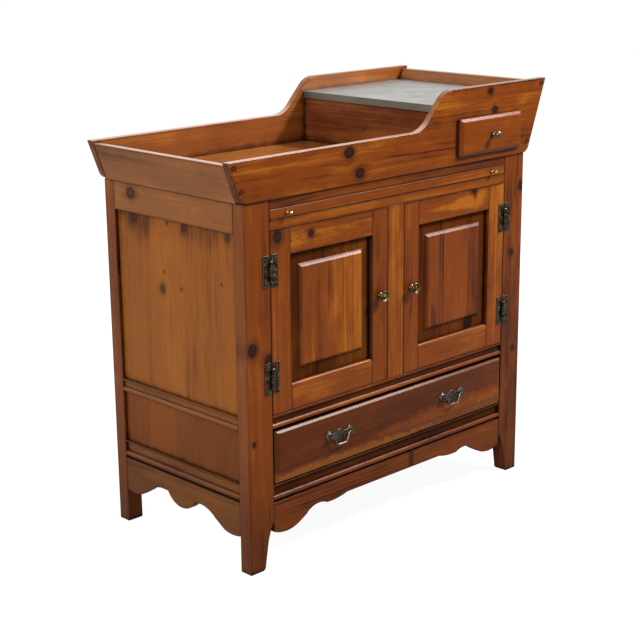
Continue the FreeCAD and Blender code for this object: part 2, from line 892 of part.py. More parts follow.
node("tray_back_board", cut("back_board_bored", back_board, back_plugs))
node("tray_end_left", end_board("left_end_board", -1, left_end_height))
node("tray_end_right", end_board("right_end_board", 1, right_end_height))
node("tray_plugs", front_plugs, back_plugs)

# Raised deck: a board over the divider, its left edge wrapped in sheet zinc folded down from the top.
deck_top = tray_bottom + dims.tray_floor_thickness + dims.deck_height
deck_board_top = deck_top - dims.zinc_thickness
deck_bottom = deck_top - dims.deck_thickness
deck_left = divider_left - dims.deck_nosing
zinc_left = deck_left - dims.zinc_thickness


def deck_right(level):
    return flared(end_inner, level - tray_bottom)


node("tray_divider", block(
    "divider_board",
    x=(divider_left, divider_right), y=tray_run, z=(tray_floor_top, deck_bottom),
))
deck_outline = [
    (deck_left, deck_bottom),
    (deck_right(deck_bottom), deck_bottom),
    (deck_right(deck_board_top), deck_board_top),
    (deck_left, deck_board_top),
]
zinc_outline = [
    (zinc_left, deck_bottom),
    (deck_left, deck_bottom),
    (deck_left, deck_board_top),
    (deck_right(deck_board_top), deck_board_top),
    (deck_right(deck_top), deck_top),
    (zinc_left, deck_top),
]
deck_run = Rule(tray_run[1]) - tray_run[0]
node("tray_deck", sawn("deck_board", "XZ_Plane", deck_outline, tray_run[0], deck_run))
node("deck_zinc", sawn("zinc_sheet", "XZ_Plane", zinc_outline, tray_run[0], deck_run))

# Tray drawer runners, on the tray's floor below the deck.
tray_box_half = half_opening - dims.tray_drawer_clearance
tray_box_bottom = tray_drawer_bottom + dims.tray_drawer_clearance
tray_guide = tray_box_half + dims.running_clearance
tray_seat = tray_box_bottom - dims.seat_gap
tray_runner_outline = [
    (tray_drawer_middle - tray_guide - dims.tray_runner_width, tray_floor_top),
    (tray_drawer_middle - tray_guide + dims.tray_runner_width, tray_floor_top),
    (tray_drawer_middle - tray_guide + dims.tray_runner_width, tray_seat),
    (tray_drawer_middle - tray_guide, tray_seat),
    (tray_drawer_middle - tray_guide, tray_seat + dims.tray_runner_guide),
    (tray_drawer_middle - tray_guide - dims.tray_runner_width, tray_seat + dims.tray_runner_guide),
]
tray_box_back = tray_back_front - dims.tray_drawer_back_gap
tray_runner = sawn(
    "tray_runner", "XZ_Plane", tray_runner_outline, tray_front_back, tray_box_back - tray_front_back
)
node("tray_drawer_runners", pair("tray_runner_pair", tray_runner, about=tray_drawer_middle))


# Hinges: H-shaped leaves on the faces of post and door, with the pin in front of the gap.

barrel_y = -(dims.hinge_barrel_radius + dims.seat_gap)
barrel_end = dims.hinge_barrel_height / 2
middle_end = barrel_end / 3
knuckle_spans = {
    "frame": [(-middle_end, middle_end)],
    "door": [(middle_end + dims.seat_gap, barrel_end), (-barrel_end, -middle_end - dims.seat_gap)],
}


def hinge_leaf(name, owner, toward, height, bore_radius):
    """One leaf of the left door's hinges: a plate, a narrow tab at each knuckle, and the knuckles."""
    leaf_y = (-dims.hinge_leaf_thickness, 0)
    out = sorted((toward * dims.hinge_half_width, toward * dims.hinge_leaf_inner), key=value)
    inner = sorted((toward * dims.hinge_leaf_inner, Rule(0)), key=value)
    half_height = dims.hinge_height / 2
    pieces = [block(
        f"{name}_plate",
        x=(out[0] - post_edge, out[1] - post_edge), y=leaf_y, z=(height - half_height, height + half_height),
    )]
    for number, (low, high) in enumerate(knuckle_spans[owner]):
        span = (height + low, height + high)
        pieces.append(block(
            f"{name}_tab_{number}", x=(inner[0] - post_edge, inner[1] - post_edge), y=leaf_y, z=span
        ))
        pieces.append(rod(
            f"{name}_knuckle_{number}", "Z", (-post_edge, barrel_y, span[0]),
            dims.hinge_barrel_radius, span[1] - span[0],
        ))
    bore = rod(
        f"{name}_bore", "Z", (-post_edge, barrel_y, height - half_height), bore_radius, dims.hinge_height
    )
    return cut(name, fuse(f"{name}_blank", *pieces), bore)


def hinge_pin(name, height):
    """A pin through the knuckles, with a small head above and below them."""
    reach = barrel_end + dims.seat_gap
    shaft = rod(
        f"{name}_shaft", "Z", (-post_edge, barrel_y, height - reach), dims.hinge_pin_radius, 2 * reach
    )
    heads = [
        rod(f"{name}_head_{number}", "Z", (-post_edge, barrel_y, height + start),
            dims.hinge_pin_head_radius, dims.hinge_pin_head_height)
        for number, start in enumerate((-reach - dims.hinge_pin_head_height, reach))
    ]
    return fuse(name, shaft, *heads)


loose_bore = dims.hinge_pin_radius + dims.hinge_pin_clearance
left_frame_leaves = cut("left_frame_leaves", group("plain_frame_leaves", [
    hinge_leaf(f"frame_leaf_{number}", "frame", -1, height, dims.hinge_pin_radius)
    for number, height in enumerate(hinge_heights)
]), left_frame_screws)
left_pins = group("left_pins", [
    hinge_pin(f"left_pin_{number}", height) for number, height in enumerate(hinge_heights)
])
node("frame_hinge_leaves", pair("frame_leaf_pair", left_frame_leaves))
node("hinge_pins", pair("pin_pair", left_pins))
node("frame_hinge_screws", pair("frame_screw_pair", left_frame_screws))


# Doors: stiles and rails round a raised panel whose field stands almost flush with them.

door_x = (dims.door_gap - post_edge, -half_stile - dims.door_gap)
door_y = (0, dims.door_thickness)
door_z = (door_bottom + dims.door_gap, door_top - dims.door_gap)
light_x = (door_x[0] + dims.hinge_stile_width, door_x[1] - dims.meeting_stile_width)
light_z = (door_z[0] + dims.door_bottom_rail_height, door_z[1] - dims.door_top_rail_height)


def raised_panel():
    """A tongue in the frame's grooves, a sloping margin, and a field raised on a steep shoulder."""
    groove = dims.panel_groove_depth
    margin = dims.door_panel_margin
    shoulder = dims.door_panel_shoulder
    slope_front = dims.door_panel_recess - dims.door_panel_slope
    foot_x = (light_x[0] + margin, light_x[1] - margin)
    foot_z = (light_z[0] + margin, light_z[1] - margin)
    field_x = (foot_x[0] + shoulder, foot_x[1] - shoulder)
    field_z = (foot_z[0] + shoulder, foot_z[1] - shoulder)
    tongue = block(
        "panel_tongue",
        x=(light_x[0] - groove, light_x[1] + groove),
        y=(dims.door_panel_recess, dims.door_panel_recess + dims.door_panel_thickness),
        z=(light_z[0] - groove, light_z[1] + groove),
    )
    slope = wedge("panel_slope", foot_x, light_x, slope_front, dims.door_panel_recess, foot_z, light_z)
    field = wedge("panel_field", field_x, foot_x, dims.door_field_setback, slope_front, field_z, foot_z)
    return fuse("raised_panel", tongue, slope, field), tongue


left_door_screws = hinge_screws("left_door_screws", 1)
left_panel, left_tongue = raised_panel()
stile_boards = group("stile_boards", [
    block("hinge_stile", x=(door_x[0], light_x[0]), y=door_y, z=door_z),
    block("meeting_stile", x=(light_x[1], door_x[1]), y=door_y, z=door_z),
])
rail_boards = group("rail_boards", [
    block("door_bottom_rail", x=light_x, y=door_y, z=(door_z[0], light_z[0])),
    block("door_top_rail", x=light_x, y=door_y, z=(light_z[1], door_z[1])),
])
# The knob has a collar, a neck, and a head with a ring round a low dome.
knob_rim = dims.door_knob_radius
ring = dims.door_knob_ring_width
knob_neck_end = dims.door_knob_collar_length + dims.door_knob_neck_length
knob_reach = knob_neck_end + dims.door_knob_head_length
door_knob_outline = [
    (0, 0),
    (0, dims.door_knob_collar_radius),
    (dims.door_knob_collar_length / 2, dims.door_knob_collar_radius, SHALLOW_ARC),
    (dims.door_knob_collar_length, dims.door_knob_neck_radius),
    (knob_neck_end, dims.door_knob_neck_radius, -SHALLOW_ARC),
    (knob_reach - 2.5 * ring, knob_rim - ring / 2),
    (knob_reach - 1.5 * ring, knob_rim, QUARTER_ARC),
    (knob_reach - ring / 2, knob_rim - ring),
    (knob_reach - ring, knob_rim - 2 * ring, dome(ring, knob_rim - 2 * ring)),
    (knob_reach, 0),
]
door_pieces = {
    "door_stiles": cut("grooved_stiles", stile_boards, left_tongue, left_door_screws),
    "door_rails": cut("grooved_rails", rail_boards, left_tongue),
    "door_panel": left_panel,
    "door_knob": turned(
        "door_knob_turning", door_knob_outline,
        door_x[1] - dims.meeting_stile_width / 2, 0, door_bottom + dims.door_knob_height,
    ),
    "door_hinge_leaves": cut("left_door_leaves", group("plain_door_leaves", [
        hinge_leaf(f"door_leaf_{number}", "door", 1, height, loose_bore)
        for number, height in enumerate(hinge_heights)
    ]), left_door_screws),
    "door_hinge_screws": left_door_screws,
}
for name, piece in door_pieces.items():
    node(f"left_{name}", piece)
    node(f"right_{name}", mirror(piece))


# Wide drawer: a thick front with sloped edges, a dovetailed box and a thin bottom in grooves.

front_x = (-drawer_half, drawer_half)
front_z = (drawer_floor, drawer_top - dims.drawer_gap)
sloped_x = (front_x[0] + dims.drawer_end_bevel, front_x[1] - dims.drawer_end_bevel)
sloped_z = (front_z[0] + dims.drawer_bottom_bevel, front_z[1] - dims.drawer_top_bevel)
drawer_back = back_face - dims.drawer_back_gap
inner_half = drawer_half - dims.drawer_side_thickness
box_z = (box_bottom, box_bottom + dims.drawer_box_height)
panel_bottom = box_bottom + dims.drawer_bottom_lift
groove = dims.bottom_groove_depth
drawer_panel = block(
    "drawer_panel",
    x=(-inner_half - groove, inner_half + groove),
    y=(dims.drawer_front_thickness - groove, drawer_back - dims.drawer_side_thickness + groove),
    z=(panel_bottom, panel_bottom + dims.drawer_bottom_thickness),
)
drawer_face = fuse(
    "drawer_face",
    block("drawer_face_board", x=front_x, y=(0, dims.drawer_front_thickness), z=front_z),
    wedge("drawer_face_slope", sloped_x, front_x, -dims.drawer_front_proud, 0, sloped_z, front_z),
)
drawer_left_side = block(
    "drawer_left_side", x=(-drawer_half, -inner_half), y=(dims.drawer_front_thickness, drawer_back), z=box_z
)
drawer_back_board = block(
    "drawer_back_board",
    x=(-inner_half, inner_half), y=(drawer_back - dims.drawer_side_thickness, drawer_back), z=box_z,
)
drawer_boards = group("drawer_boards", [drawer_left_side, mirror(drawer_left_side), drawer_back_board])
node("drawer_front", cut("drawer_face_grooved", drawer_face, drawer_panel))
node("drawer_box", cut("drawer_boards_grooved", drawer_boards, drawer_panel))
node("drawer_bottom", drawer_panel)

# Pulls: a bat-wing plate with two posts, and a bail whose pins turn in them.
pull_x = dims.pull_inset - drawer_half
pull_z = drawer_floor + dims.pull_height
plate_back = -dims.drawer_front_proud
pivot_y = plate_back - dims.pull_plate_thickness - dims.pull_pivot_out
half_posts = dims.pull_post_spacing / 2
# Right half of the plate, as (across, up, bulge) in shares of its half width and of its height.
WING_SHAPE = [
    (0, -0.6, SHALLOW_ARC),
    (0.3, -0.5, SHALLOW_ARC),
    (0.42, -0.28, -ROUND_ARC),
    (0.66, -0.16, ROUND_ARC),
    (1, 0.04, ROUND_ARC),
    (0.7, 0.38, -SHALLOW_ARC),
    (0.48, 0.12, ROUND_ARC),
    (0.3, 0.03, ROUND_ARC),
    (0, 0.32),
]
wing_half = [
    (across * dims.pull_plate_width / 2, up * dims.pull_plate_height, *bend)
    for across, up, *bend in WING_SHAPE
]
wing_outline = [
    (Rule(corner[0]) + pull_x, Rule(corner[1]) + pull_z, *corner[2:])
    for corner in both_halves(wing_half)
]
wing_plate = sawn(
    "wing_plate", "XZ_Plane", wing_outline, plate_back - dims.pull_plate_thickness, dims.pull_plate_thickness
)
bail_bore_radius = dims.bail_rod_radius + dims.bail_clearance
pull_posts = [
    rod(f"pull_post_{number}", "Y",
        (pull_x + side * half_posts, plate_back - dims.pull_plate_thickness - dims.pull_post_length, pull_z),
        dims.pull_post_radius, dims.pull_post_length)
    for number, side in enumerate((-1, 1))
]
pin_reach = half_posts + dims.pull_post_radius
pull_bore = rod("pull_bore", "X", (pull_x - pin_reach, pivot_y, pull_z), bail_bore_radius, 2 * pin_reach)
pull_plate = cut("pull_plate", fuse("pull_plate_blank", wing_plate, *pull_posts), pull_bore)


def bail_rod():
    """A round bar bent into a drop handle: pins out to the posts, splayed arms and a straight grip."""
    turn = 90 - dims.bail_splay
    lean = sine(dims.bail_splay)
    fall = cosine(dims.bail_splay)
    shoulder_run = dims.bail_shoulder_radius * tangent(turn / 2)
    grip_run = dims.bail_grip_radius * tangent(turn / 2)
    bend = tangent(turn / 4)
    shoulder_x = half_posts - dims.pull_post_radius - dims.seat_gap - shoulder_run
    grip_x = shoulder_x - dims.bail_drop * tangent(dims.bail_splay)
    right = [
        (grip_x - grip_run, -dims.bail_drop, bend),
        (grip_x + grip_run * lean, grip_run * fall - dims.bail_drop),
        (shoulder_x - shoulder_run * lean, -shoulder_run * fall, -bend),
        (shoulder_x + shoulder_run, 0),
        (pin_reach, 0),
    ]
    # The left half runs the other way, so each of its arcs starts where the right half's ends.
    left = [(-Rule(across), up) for across, up, *_ in reversed(right)]
    left[1] = (*left[1], -bend)
    left[3] = (*left[3], bend)
    body = doc.addObject("PartDesign::Body", "bail")
    path = drawn(body, "bail_path", "XZ_Plane", left + right, closed=False)
    section = body.newObject("Sketcher::SketchObject", "bail_section")
    section.AttachmentSupport = [(plane_of(body, "YZ_Plane"), "")]
    section.MapMode = "FlatFace"
    section.setExpression(".AttachmentOffset.Base.z", str(-pin_reach))
    circle = Part.Circle(FreeCAD.Vector(0, 0, 0), FreeCAD.Vector(0, 0, 1), value(dims.bail_rod_radius))
    section.addGeometry(circle)
    section.addConstraint(Sketcher.Constraint("Coincident", 0, 3, -1, 1))
    section.addConstraint(Sketcher.Constraint("Radius", 0, value(dims.bail_rod_radius)))
    section.setExpression("Constraints[1]", str(dims.bail_rod_radius))
    doc.recompute()
    bent = body.newObject("PartDesign::AdditivePipe", "bail_bar")
    bent.Profile = section
    bent.Spine = (path, [f"Edge{number + 1}" for number in range(len(path.Shape.Edges))])
    body.Tip = bent
    return place(body, pull_x, pivot_y, pull_z)


left_bail = bail_rod()
node("drawer_pull_plates", pair("pull_plate_pair", pull_plate))
node("left_bail", left_bail)
node("right_bail", mirror(left_bail))


# Small tray drawer: a lipped front over the opening, a box behind it and a mushroom knob.

lap = dims.tray_drawer_lap
lip_back = tray_front - dims.seat_gap
lip_front = tray_front - dims.tray_drawer_proud
slope_back = lip_front + dims.tray_drawer_bevel_depth
lip_x = (opening_x[0] - lap, opening_x[1] + lap)
lip_z = (tray_drawer_bottom - lap + dims.tray_drawer_clearance, tray_drawer_top + lap)
bevel = dims.tray_drawer_bevel
face_x = (lip_x[0] + bevel, lip_x[1] - bevel)
face_z = (lip_z[0] + bevel, lip_z[1] - bevel)
tray_box_x = (tray_drawer_middle - tray_box_half, tray_drawer_middle + tray_box_half)
tray_box_z = (tray_box_bottom, tray_drawer_top - dims.tray_drawer_clearance)
side_wall = dims.tray_drawer_side
tray_face = fuse(
    "tray_face",
    wedge("tray_face_slope", face_x, lip_x, lip_front, slope_back, face_z, lip_z),
    block("tray_face_lip", x=lip_x, y=(slope_back, lip_back), z=lip_z),
    block("tray_face_plug", x=tray_box_x, y=(lip_back, tray_front_back), z=tray_box_z),
)
tray_left_side = block(
    "tray_left_side",
    x=(tray_box_x[0], tray_box_x[0] + side_wall), y=(tray_front_back, tray_box_back), z=tray_box_z,
)
tray_box_inner = (tray_box_x[0] + side_wall, tray_box_x[1] - side_wall)
tray_box_bottom_board = block(
    "tray_bottom_board",
    x=tray_box_inner, y=(tray_front_back, tray_box_back - side_wall),
    z=(tray_box_bottom, tray_box_bottom + dims.tray_drawer_bottom),
)
tray_back_wall = block(
    "tray_back_wall", x=tray_box_inner, y=(tray_box_back - side_wall, tray_box_back), z=tray_box_z
)
# The knob has a rounded base, a neck, and a mushroom head.
tray_knob_outline = [
    (0, 0),
    (0, dims.tray_knob_base_radius, SHALLOW_ARC),
    (0.75 * dims.tray_knob_base_length, dims.tray_knob_base_radius, ROUND_ARC),
    (dims.tray_knob_base_length, dims.tray_knob_neck_radius),
    (tray_knob_neck_end, dims.tray_knob_neck_radius, -SHALLOW_ARC),
    (
        tray_knob_reach - dims.tray_knob_cap_length,
        dims.tray_knob_radius,
        dome(dims.tray_knob_cap_length, dims.tray_knob_radius),
    ),
    (tray_knob_reach, 0),
]
node("tray_drawer_front", tray_face)
node("tray_drawer_box", tray_left_side, mirror(tray_left_side, about=tray_drawer_middle),
     tray_box_bottom_board, tray_back_wall)
node("tray_drawer_knob", turned(
    "tray_knob_turning", tray_knob_outline,
    tray_drawer_middle, lip_front, (Rule(lip_z[0]) + lip_z[1]) / 2,
))


# Slide-out board under the top rail, with a small ball knob near each end.

slide_board = block(
    "slide_work_board",
    x=(-slide_half, slide_half),
    y=(0, back_post_front - dims.slide_back_gap),
    z=(slide_board_bottom, slide_top - dims.slide_gap),
)
ball = dims.slide_knob_radius
neck = dims.slide_knob_neck_radius
ball_back = root(ball * ball - neck * neck)
ball_middle = dims.slide_knob_neck_end + ball_back
slide_knob_outline = [
    (0, 0),
    (0, dims.slide_knob_bead_radius),
    (dims.slide_knob_bead_length, dims.slide_knob_bead_radius),
    (dims.slide_knob_bead_length, neck),
    (dims.slide_knob_neck_end, neck, dome(ball - neck, ball_back)),
    (ball_middle, ball, QUARTER_ARC),
    (ball_middle + ball, 0),
]
slide_knob = turned(
    "slide_knob_turning", slide_knob_outline,
    dims.slide_knob_inset - post_edge, 0, (slide_top + slide_bottom) / 2,
)
node("slide_board", slide_board)
node("slide_knobs", pair("slide_knob_pair", slide_knob))


# Every object must have worked before anything is written.

doc.recompute()
for thing in doc.Objects:
    if "Invalid" in thing.State or "Error" in thing.State:
        raise RuntimeError(f"{thing.Name} failed: {thing.State}")
for part in nodes:
    if part.Shape.isNull() or not part.Shape.isValid():
        raise RuntimeError(f"{part.Label} has no valid shape")

os.makedirs("parts", exist_ok=True)
for part in nodes:
    part.Shape.exportStep(f"parts/{part.Label}.step")
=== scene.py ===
import json
import math
import random

import bmesh
import bpy
from mathutils import Matrix, Vector

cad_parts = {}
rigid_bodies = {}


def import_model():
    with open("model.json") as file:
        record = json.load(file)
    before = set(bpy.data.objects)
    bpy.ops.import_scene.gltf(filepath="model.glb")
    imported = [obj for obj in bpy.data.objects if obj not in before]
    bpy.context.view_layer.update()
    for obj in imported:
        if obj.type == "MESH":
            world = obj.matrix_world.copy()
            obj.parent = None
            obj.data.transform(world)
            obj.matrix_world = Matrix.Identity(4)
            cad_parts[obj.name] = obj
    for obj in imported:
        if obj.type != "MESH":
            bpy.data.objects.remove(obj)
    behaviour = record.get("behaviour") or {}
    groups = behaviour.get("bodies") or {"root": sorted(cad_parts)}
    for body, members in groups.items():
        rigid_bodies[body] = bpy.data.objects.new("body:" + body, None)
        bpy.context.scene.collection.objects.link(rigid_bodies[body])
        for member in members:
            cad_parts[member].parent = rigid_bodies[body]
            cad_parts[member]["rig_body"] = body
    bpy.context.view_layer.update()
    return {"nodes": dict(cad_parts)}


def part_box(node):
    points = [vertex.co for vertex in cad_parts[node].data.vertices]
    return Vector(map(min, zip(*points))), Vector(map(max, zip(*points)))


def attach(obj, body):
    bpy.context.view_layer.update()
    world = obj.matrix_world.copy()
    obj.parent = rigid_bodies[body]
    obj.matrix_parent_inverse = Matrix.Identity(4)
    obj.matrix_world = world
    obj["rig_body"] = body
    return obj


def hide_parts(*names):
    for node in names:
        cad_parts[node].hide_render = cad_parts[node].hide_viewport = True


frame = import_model()


# ----------------------------------------------------------------------------------------------
# Posts. Four pine posts carry the case, the front pair on feet sawn to a curve. Like all of the
# timber that shows, they are stained orange brown, flecked, and finished in a satin lacquer, with
# every edge eased by a plane.

POST_EASING = 0.0016


def solids_of(node):
    """The solids of a node, each as its triangles: one is whole once all of its edges are closed."""
    mesh = frame["nodes"][node].data
    solids = []
    triangles = []
    open_edges = set()
    for face in mesh.polygons:
        corners = [tuple(round(c, 6) for c in mesh.vertices[v].co) for v in face.vertices]
        triangles.append(corners)
        for number in range(3):
            open_edges ^= {frozenset((corners[number - 1], corners[number]))}
        if not open_edges:
            solids.append(triangles)
            triangles = []
    return solids


def select_only(piece):
    bpy.ops.object.select_all(action="DESELECT")
    piece.select_set(True)
    bpy.context.view_layer.objects.active = piece


def settle(piece, node):
    """Let a piece stand for the node that it finishes, and ride where that node rides."""
    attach(piece, frame["nodes"][node]["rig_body"])
    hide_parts(node)
    return piece


EASING_STEPS = 2
EDGE_TURN = math.radians(30)
FLAT_TURN = math.radians(0.5)


def eased(node, easing, rounder=0.0, is_rounder=None):
    """A copy of a node with its flat faces made whole and its edges rounded over, some rounder."""
    work = bmesh.new()
    for triangles in solids_of(node):
        corners = {}
        for triangle in triangles:
            for place in triangle:
                if place not in corners:
                    corners[place] = work.verts.new(place)
            if len(set(triangle)) == 3:
                work.faces.new([corners[place] for place in triangle])
    bmesh.ops.dissolve_limit(work, angle_limit=FLAT_TURN, verts=work.verts[:], edges=work.edges[:])
    widest = max(easing, rounder)
    widths = work.edges.layers.float.new("bevel_weight_edge")
    for edge in work.edges:
        if len(edge.link_faces) == 2 and edge.calc_face_angle() > EDGE_TURN:
            width = rounder if is_rounder and is_rounder(edge) else easing
            edge[widths] = width / widest
    mesh = bpy.data.meshes.new(f"{node}_finished")
    work.to_mesh(mesh)
    work.free()
    piece = bpy.data.objects.new(f"{node}_finished", mesh)
    bpy.context.scene.collection.objects.link(piece)
    select_only(piece)
    rounding = piece.modifiers.new("rounding", "BEVEL")
    rounding.width = widest
    rounding.segments = EASING_STEPS
    rounding.limit_method = "WEIGHT"
    rounding.use_clamp_overlap = False
    rounding.loop_slide = False
    rounding.harden_normals = True
    bpy.ops.object.modifier_apply(modifier=rounding.name)
    return piece


def islands_of(mesh):
    """The separate boards of a mesh, each as a list of its vertices' numbers."""
    parent = list(range(len(mesh.vertices)))

    def top(vertex):
        while parent[vertex] != vertex:
            parent[vertex] = parent[parent[vertex]]
            vertex = parent[vertex]
        return vertex

    for edge in mesh.edges:
        first, second = (top(v) for v in edge.vertices)
        parent[first] = second
    islands = {}
    for vertex in range(len(mesh.vertices)):
        islands.setdefault(top(vertex), []).append(vertex)
    return list(islands.values())


HEART_BEYOND_END = (2, 30)
HEART_OFF_MIDDLE = 0.3
HEART_DEPTH = (0.035, 0.075)
BOARD_VARIATION = 0.06
END_GRAIN_FACING = 0.85

boards_of = {}


def in_log(board, point):
    return tuple(point[axis] - board["heart"][axis] for axis in board["axes"])


def lay_grain(piece, node, along=None, tone=0.0):
    """Say where each board lay in its log: along the grain, across the face, and in from the bark.
    The grain runs the board's longest way unless told otherwise. Each board has its own log, and
    took the stain a little paler or darker than the next."""
    mesh = piece.data
    places = [(0, 0, 0)] * len(mesh.vertices)
    tones = [0.0] * len(mesh.vertices)
    board_of_vertex = {}
    boards = []
    chance = random.Random(node)
    for island in islands_of(mesh):
        corners = [mesh.vertices[v].co for v in island]
        low = Vector(min(c[axis] for c in corners) for axis in range(3))
        high = Vector(max(c[axis] for c in corners) for axis in range(3))
        size = high - low
        grain = max(range(3), key=lambda axis: size[axis]) if along is None else along
        depth, width = sorted((axis for axis in range(3) if axis != grain), key=lambda axis: size[axis])
        heart = Vector((0, 0, 0))
        heart[grain] = -chance.uniform(*HEART_BEYOND_END)
        off_middle = chance.uniform(-HEART_OFF_MIDDLE, HEART_OFF_MIDDLE) * size[width]
        heart[width] = (low[width] + high[width]) / 2 + off_middle
        heart[depth] = high[depth] + chance.uniform(*HEART_DEPTH)
        board = {"low": low, "high": high, "axes": (grain, width, depth), "heart": heart}
        boards.append(board)
        board_tone = tone + chance.uniform(-BOARD_VARIATION, BOARD_VARIATION)
        for vertex in island:
            tones[vertex] = board_tone
            places[vertex] = in_log(board, mesh.vertices[vertex].co)
            board_of_vertex[vertex] = board
    log = mesh.attributes.new("log", "FLOAT_VECTOR", "POINT")
    log.data.foreach_set("vector", [number for place in places for number in place])
    mesh.attributes.new("tone", "FLOAT", "POINT").data.foreach_set("value", tones)
    ends = mesh.attributes.new("end_grain", "FLOAT", "FACE")
    for face, mark in zip(mesh.polygons, ends.data):
        grain = board_of_vertex[face.vertices[0]]["axes"][0]
        mark.value = 1 if abs(face.normal[grain]) > END_GRAIN_FACING else 0
    boards_of[node] = boards
    return piece


def planed(node, easing, along=None, tone=0.0, rounder=0.0, is_rounder=None):
    """A timber node, planed and ready for its finish."""
    return settle(lay_grain(eased(node, easing, rounder, is_rounder), node, along, tone), node)


# The two axes that a front face and a side face spread over.
FRONT, SIDE = (0, 2), (1, 2)


def knots_on(node, face, spots):
    """Spots on a face as places in their board's log: (x or y, z, sizes) to (along, across, sizes)."""
    found = []
    for first, second, *size in spots:
        point = Vector((0, 0, 0))
        point[face[0]] = first
        point[face[1]] = second
        outside = [
            sum(max(b["low"][axis] - point[axis], point[axis] - b["high"][axis], 0) for axis in face)
            for b in boards_of[node]
        ]
        board = boards_of[node][outside.index(min(outside))]
        along, across, _ = in_log(board, point)
        found.append((along, across, *size))
    return found


def add_node(tree, kind, inputs=(), **settings):
    """A shader node with its settings, and its inputs as numbers or other nodes' outputs."""
    node = tree.nodes.new(kind if kind.startswith("NodeGroup") else f"ShaderNode{kind}")
    for name, setting in settings.items():
        setattr(node, name, setting)
    for socket, number in dict(inputs).items():
        if isinstance(number, bpy.types.NodeSocket):
            tree.links.new(number, node.inputs[socket])
        else:
            node.inputs[socket].default_value = number
    return node


def reckon(tree, operation, *numbers):
    return add_node(tree, "Math", enumerate(numbers), operation=operation).outputs[0]


def reckon_place(tree, operation, *places):
    node = add_node(tree, "VectorMath", enumerate(places), operation=operation)
    return node.outputs["Value" if operation == "LENGTH" else "Vector"]


def scaled(tree, place, number):
    return add_node(tree, "VectorMath", {0: place, "Scale": number}, operation="SCALE").outputs["Vector"]


def remap(tree, number, low, high, start=0, stop=1):
    """A number's way from low to high as a smooth way from start to stop."""
    sockets = {"Value": number, "From Min": low, "From Max": high, "To Min": start, "To Max": stop}
    return add_node(tree, "MapRange", sockets, interpolation_type="SMOOTHSTEP").outputs["Result"]


def blend_colour(tree, share, first, second, mode="MIX"):
    node = add_node(tree, "Mix", data_type="RGBA", blend_type=mode)
    for socket, source in ((0, share), (6, first), (7, second)):
        if isinstance(source, bpy.types.NodeSocket):
            tree.links.new(source, node.inputs[socket])
        else:
            node.inputs[socket].default_value = source
    return node.outputs[2]


def noise(tree, place, waves, detail=2.0, roughness=0.5):
    """Cloudy noise about zero, with so many waves a metre each way."""
    spread = reckon_place(tree, "MULTIPLY", place, waves)
    sockets = {"Vector": spread, "Scale": 1.0, "Detail": detail, "Roughness": roughness}
    return reckon(tree, "SUBTRACT", add_node(tree, "TexNoise", sockets).outputs["Fac"], 0.5)


RING_PITCH = 0.0046
RING_WANDER = 0.03
RING_RIPPLE = 0.0030
FLECK_CELLS = 34.0
FLECK_SIZE = 0.05
LACQUER_ROUGHNESS = 0.22

# Waves a metre, each along the grain, across it, and in from the bark.
WANDER_WAVES = (1.3, 5, 5)
RIPPLE_WAVES = (9, 42, 42)
FADING_WAVES = (5, 20, 20)
FIBRE_WAVES = (24, 620, 620)
STREAK_WAVES = (2.4, 85, 85)
BLOTCH_WAVES = (14, 30, 30)
CLOUD_WAVES = (2.6, 9, 9)

# How deep the stain goes of itself, and how far each mark changes that.
PLAIN_DEPTH = 0.42
LATE_WOOD_DEPTH = 0.42
FIBRE_DEPTH = -0.30
STREAK_DEPTH = 0.95
BLOTCH_DEPTH = 0.55
CLOUD_DEPTH = 1.10
END_GRAIN_DEPTH = 0.35
FLECK_DEPTH = 0.6


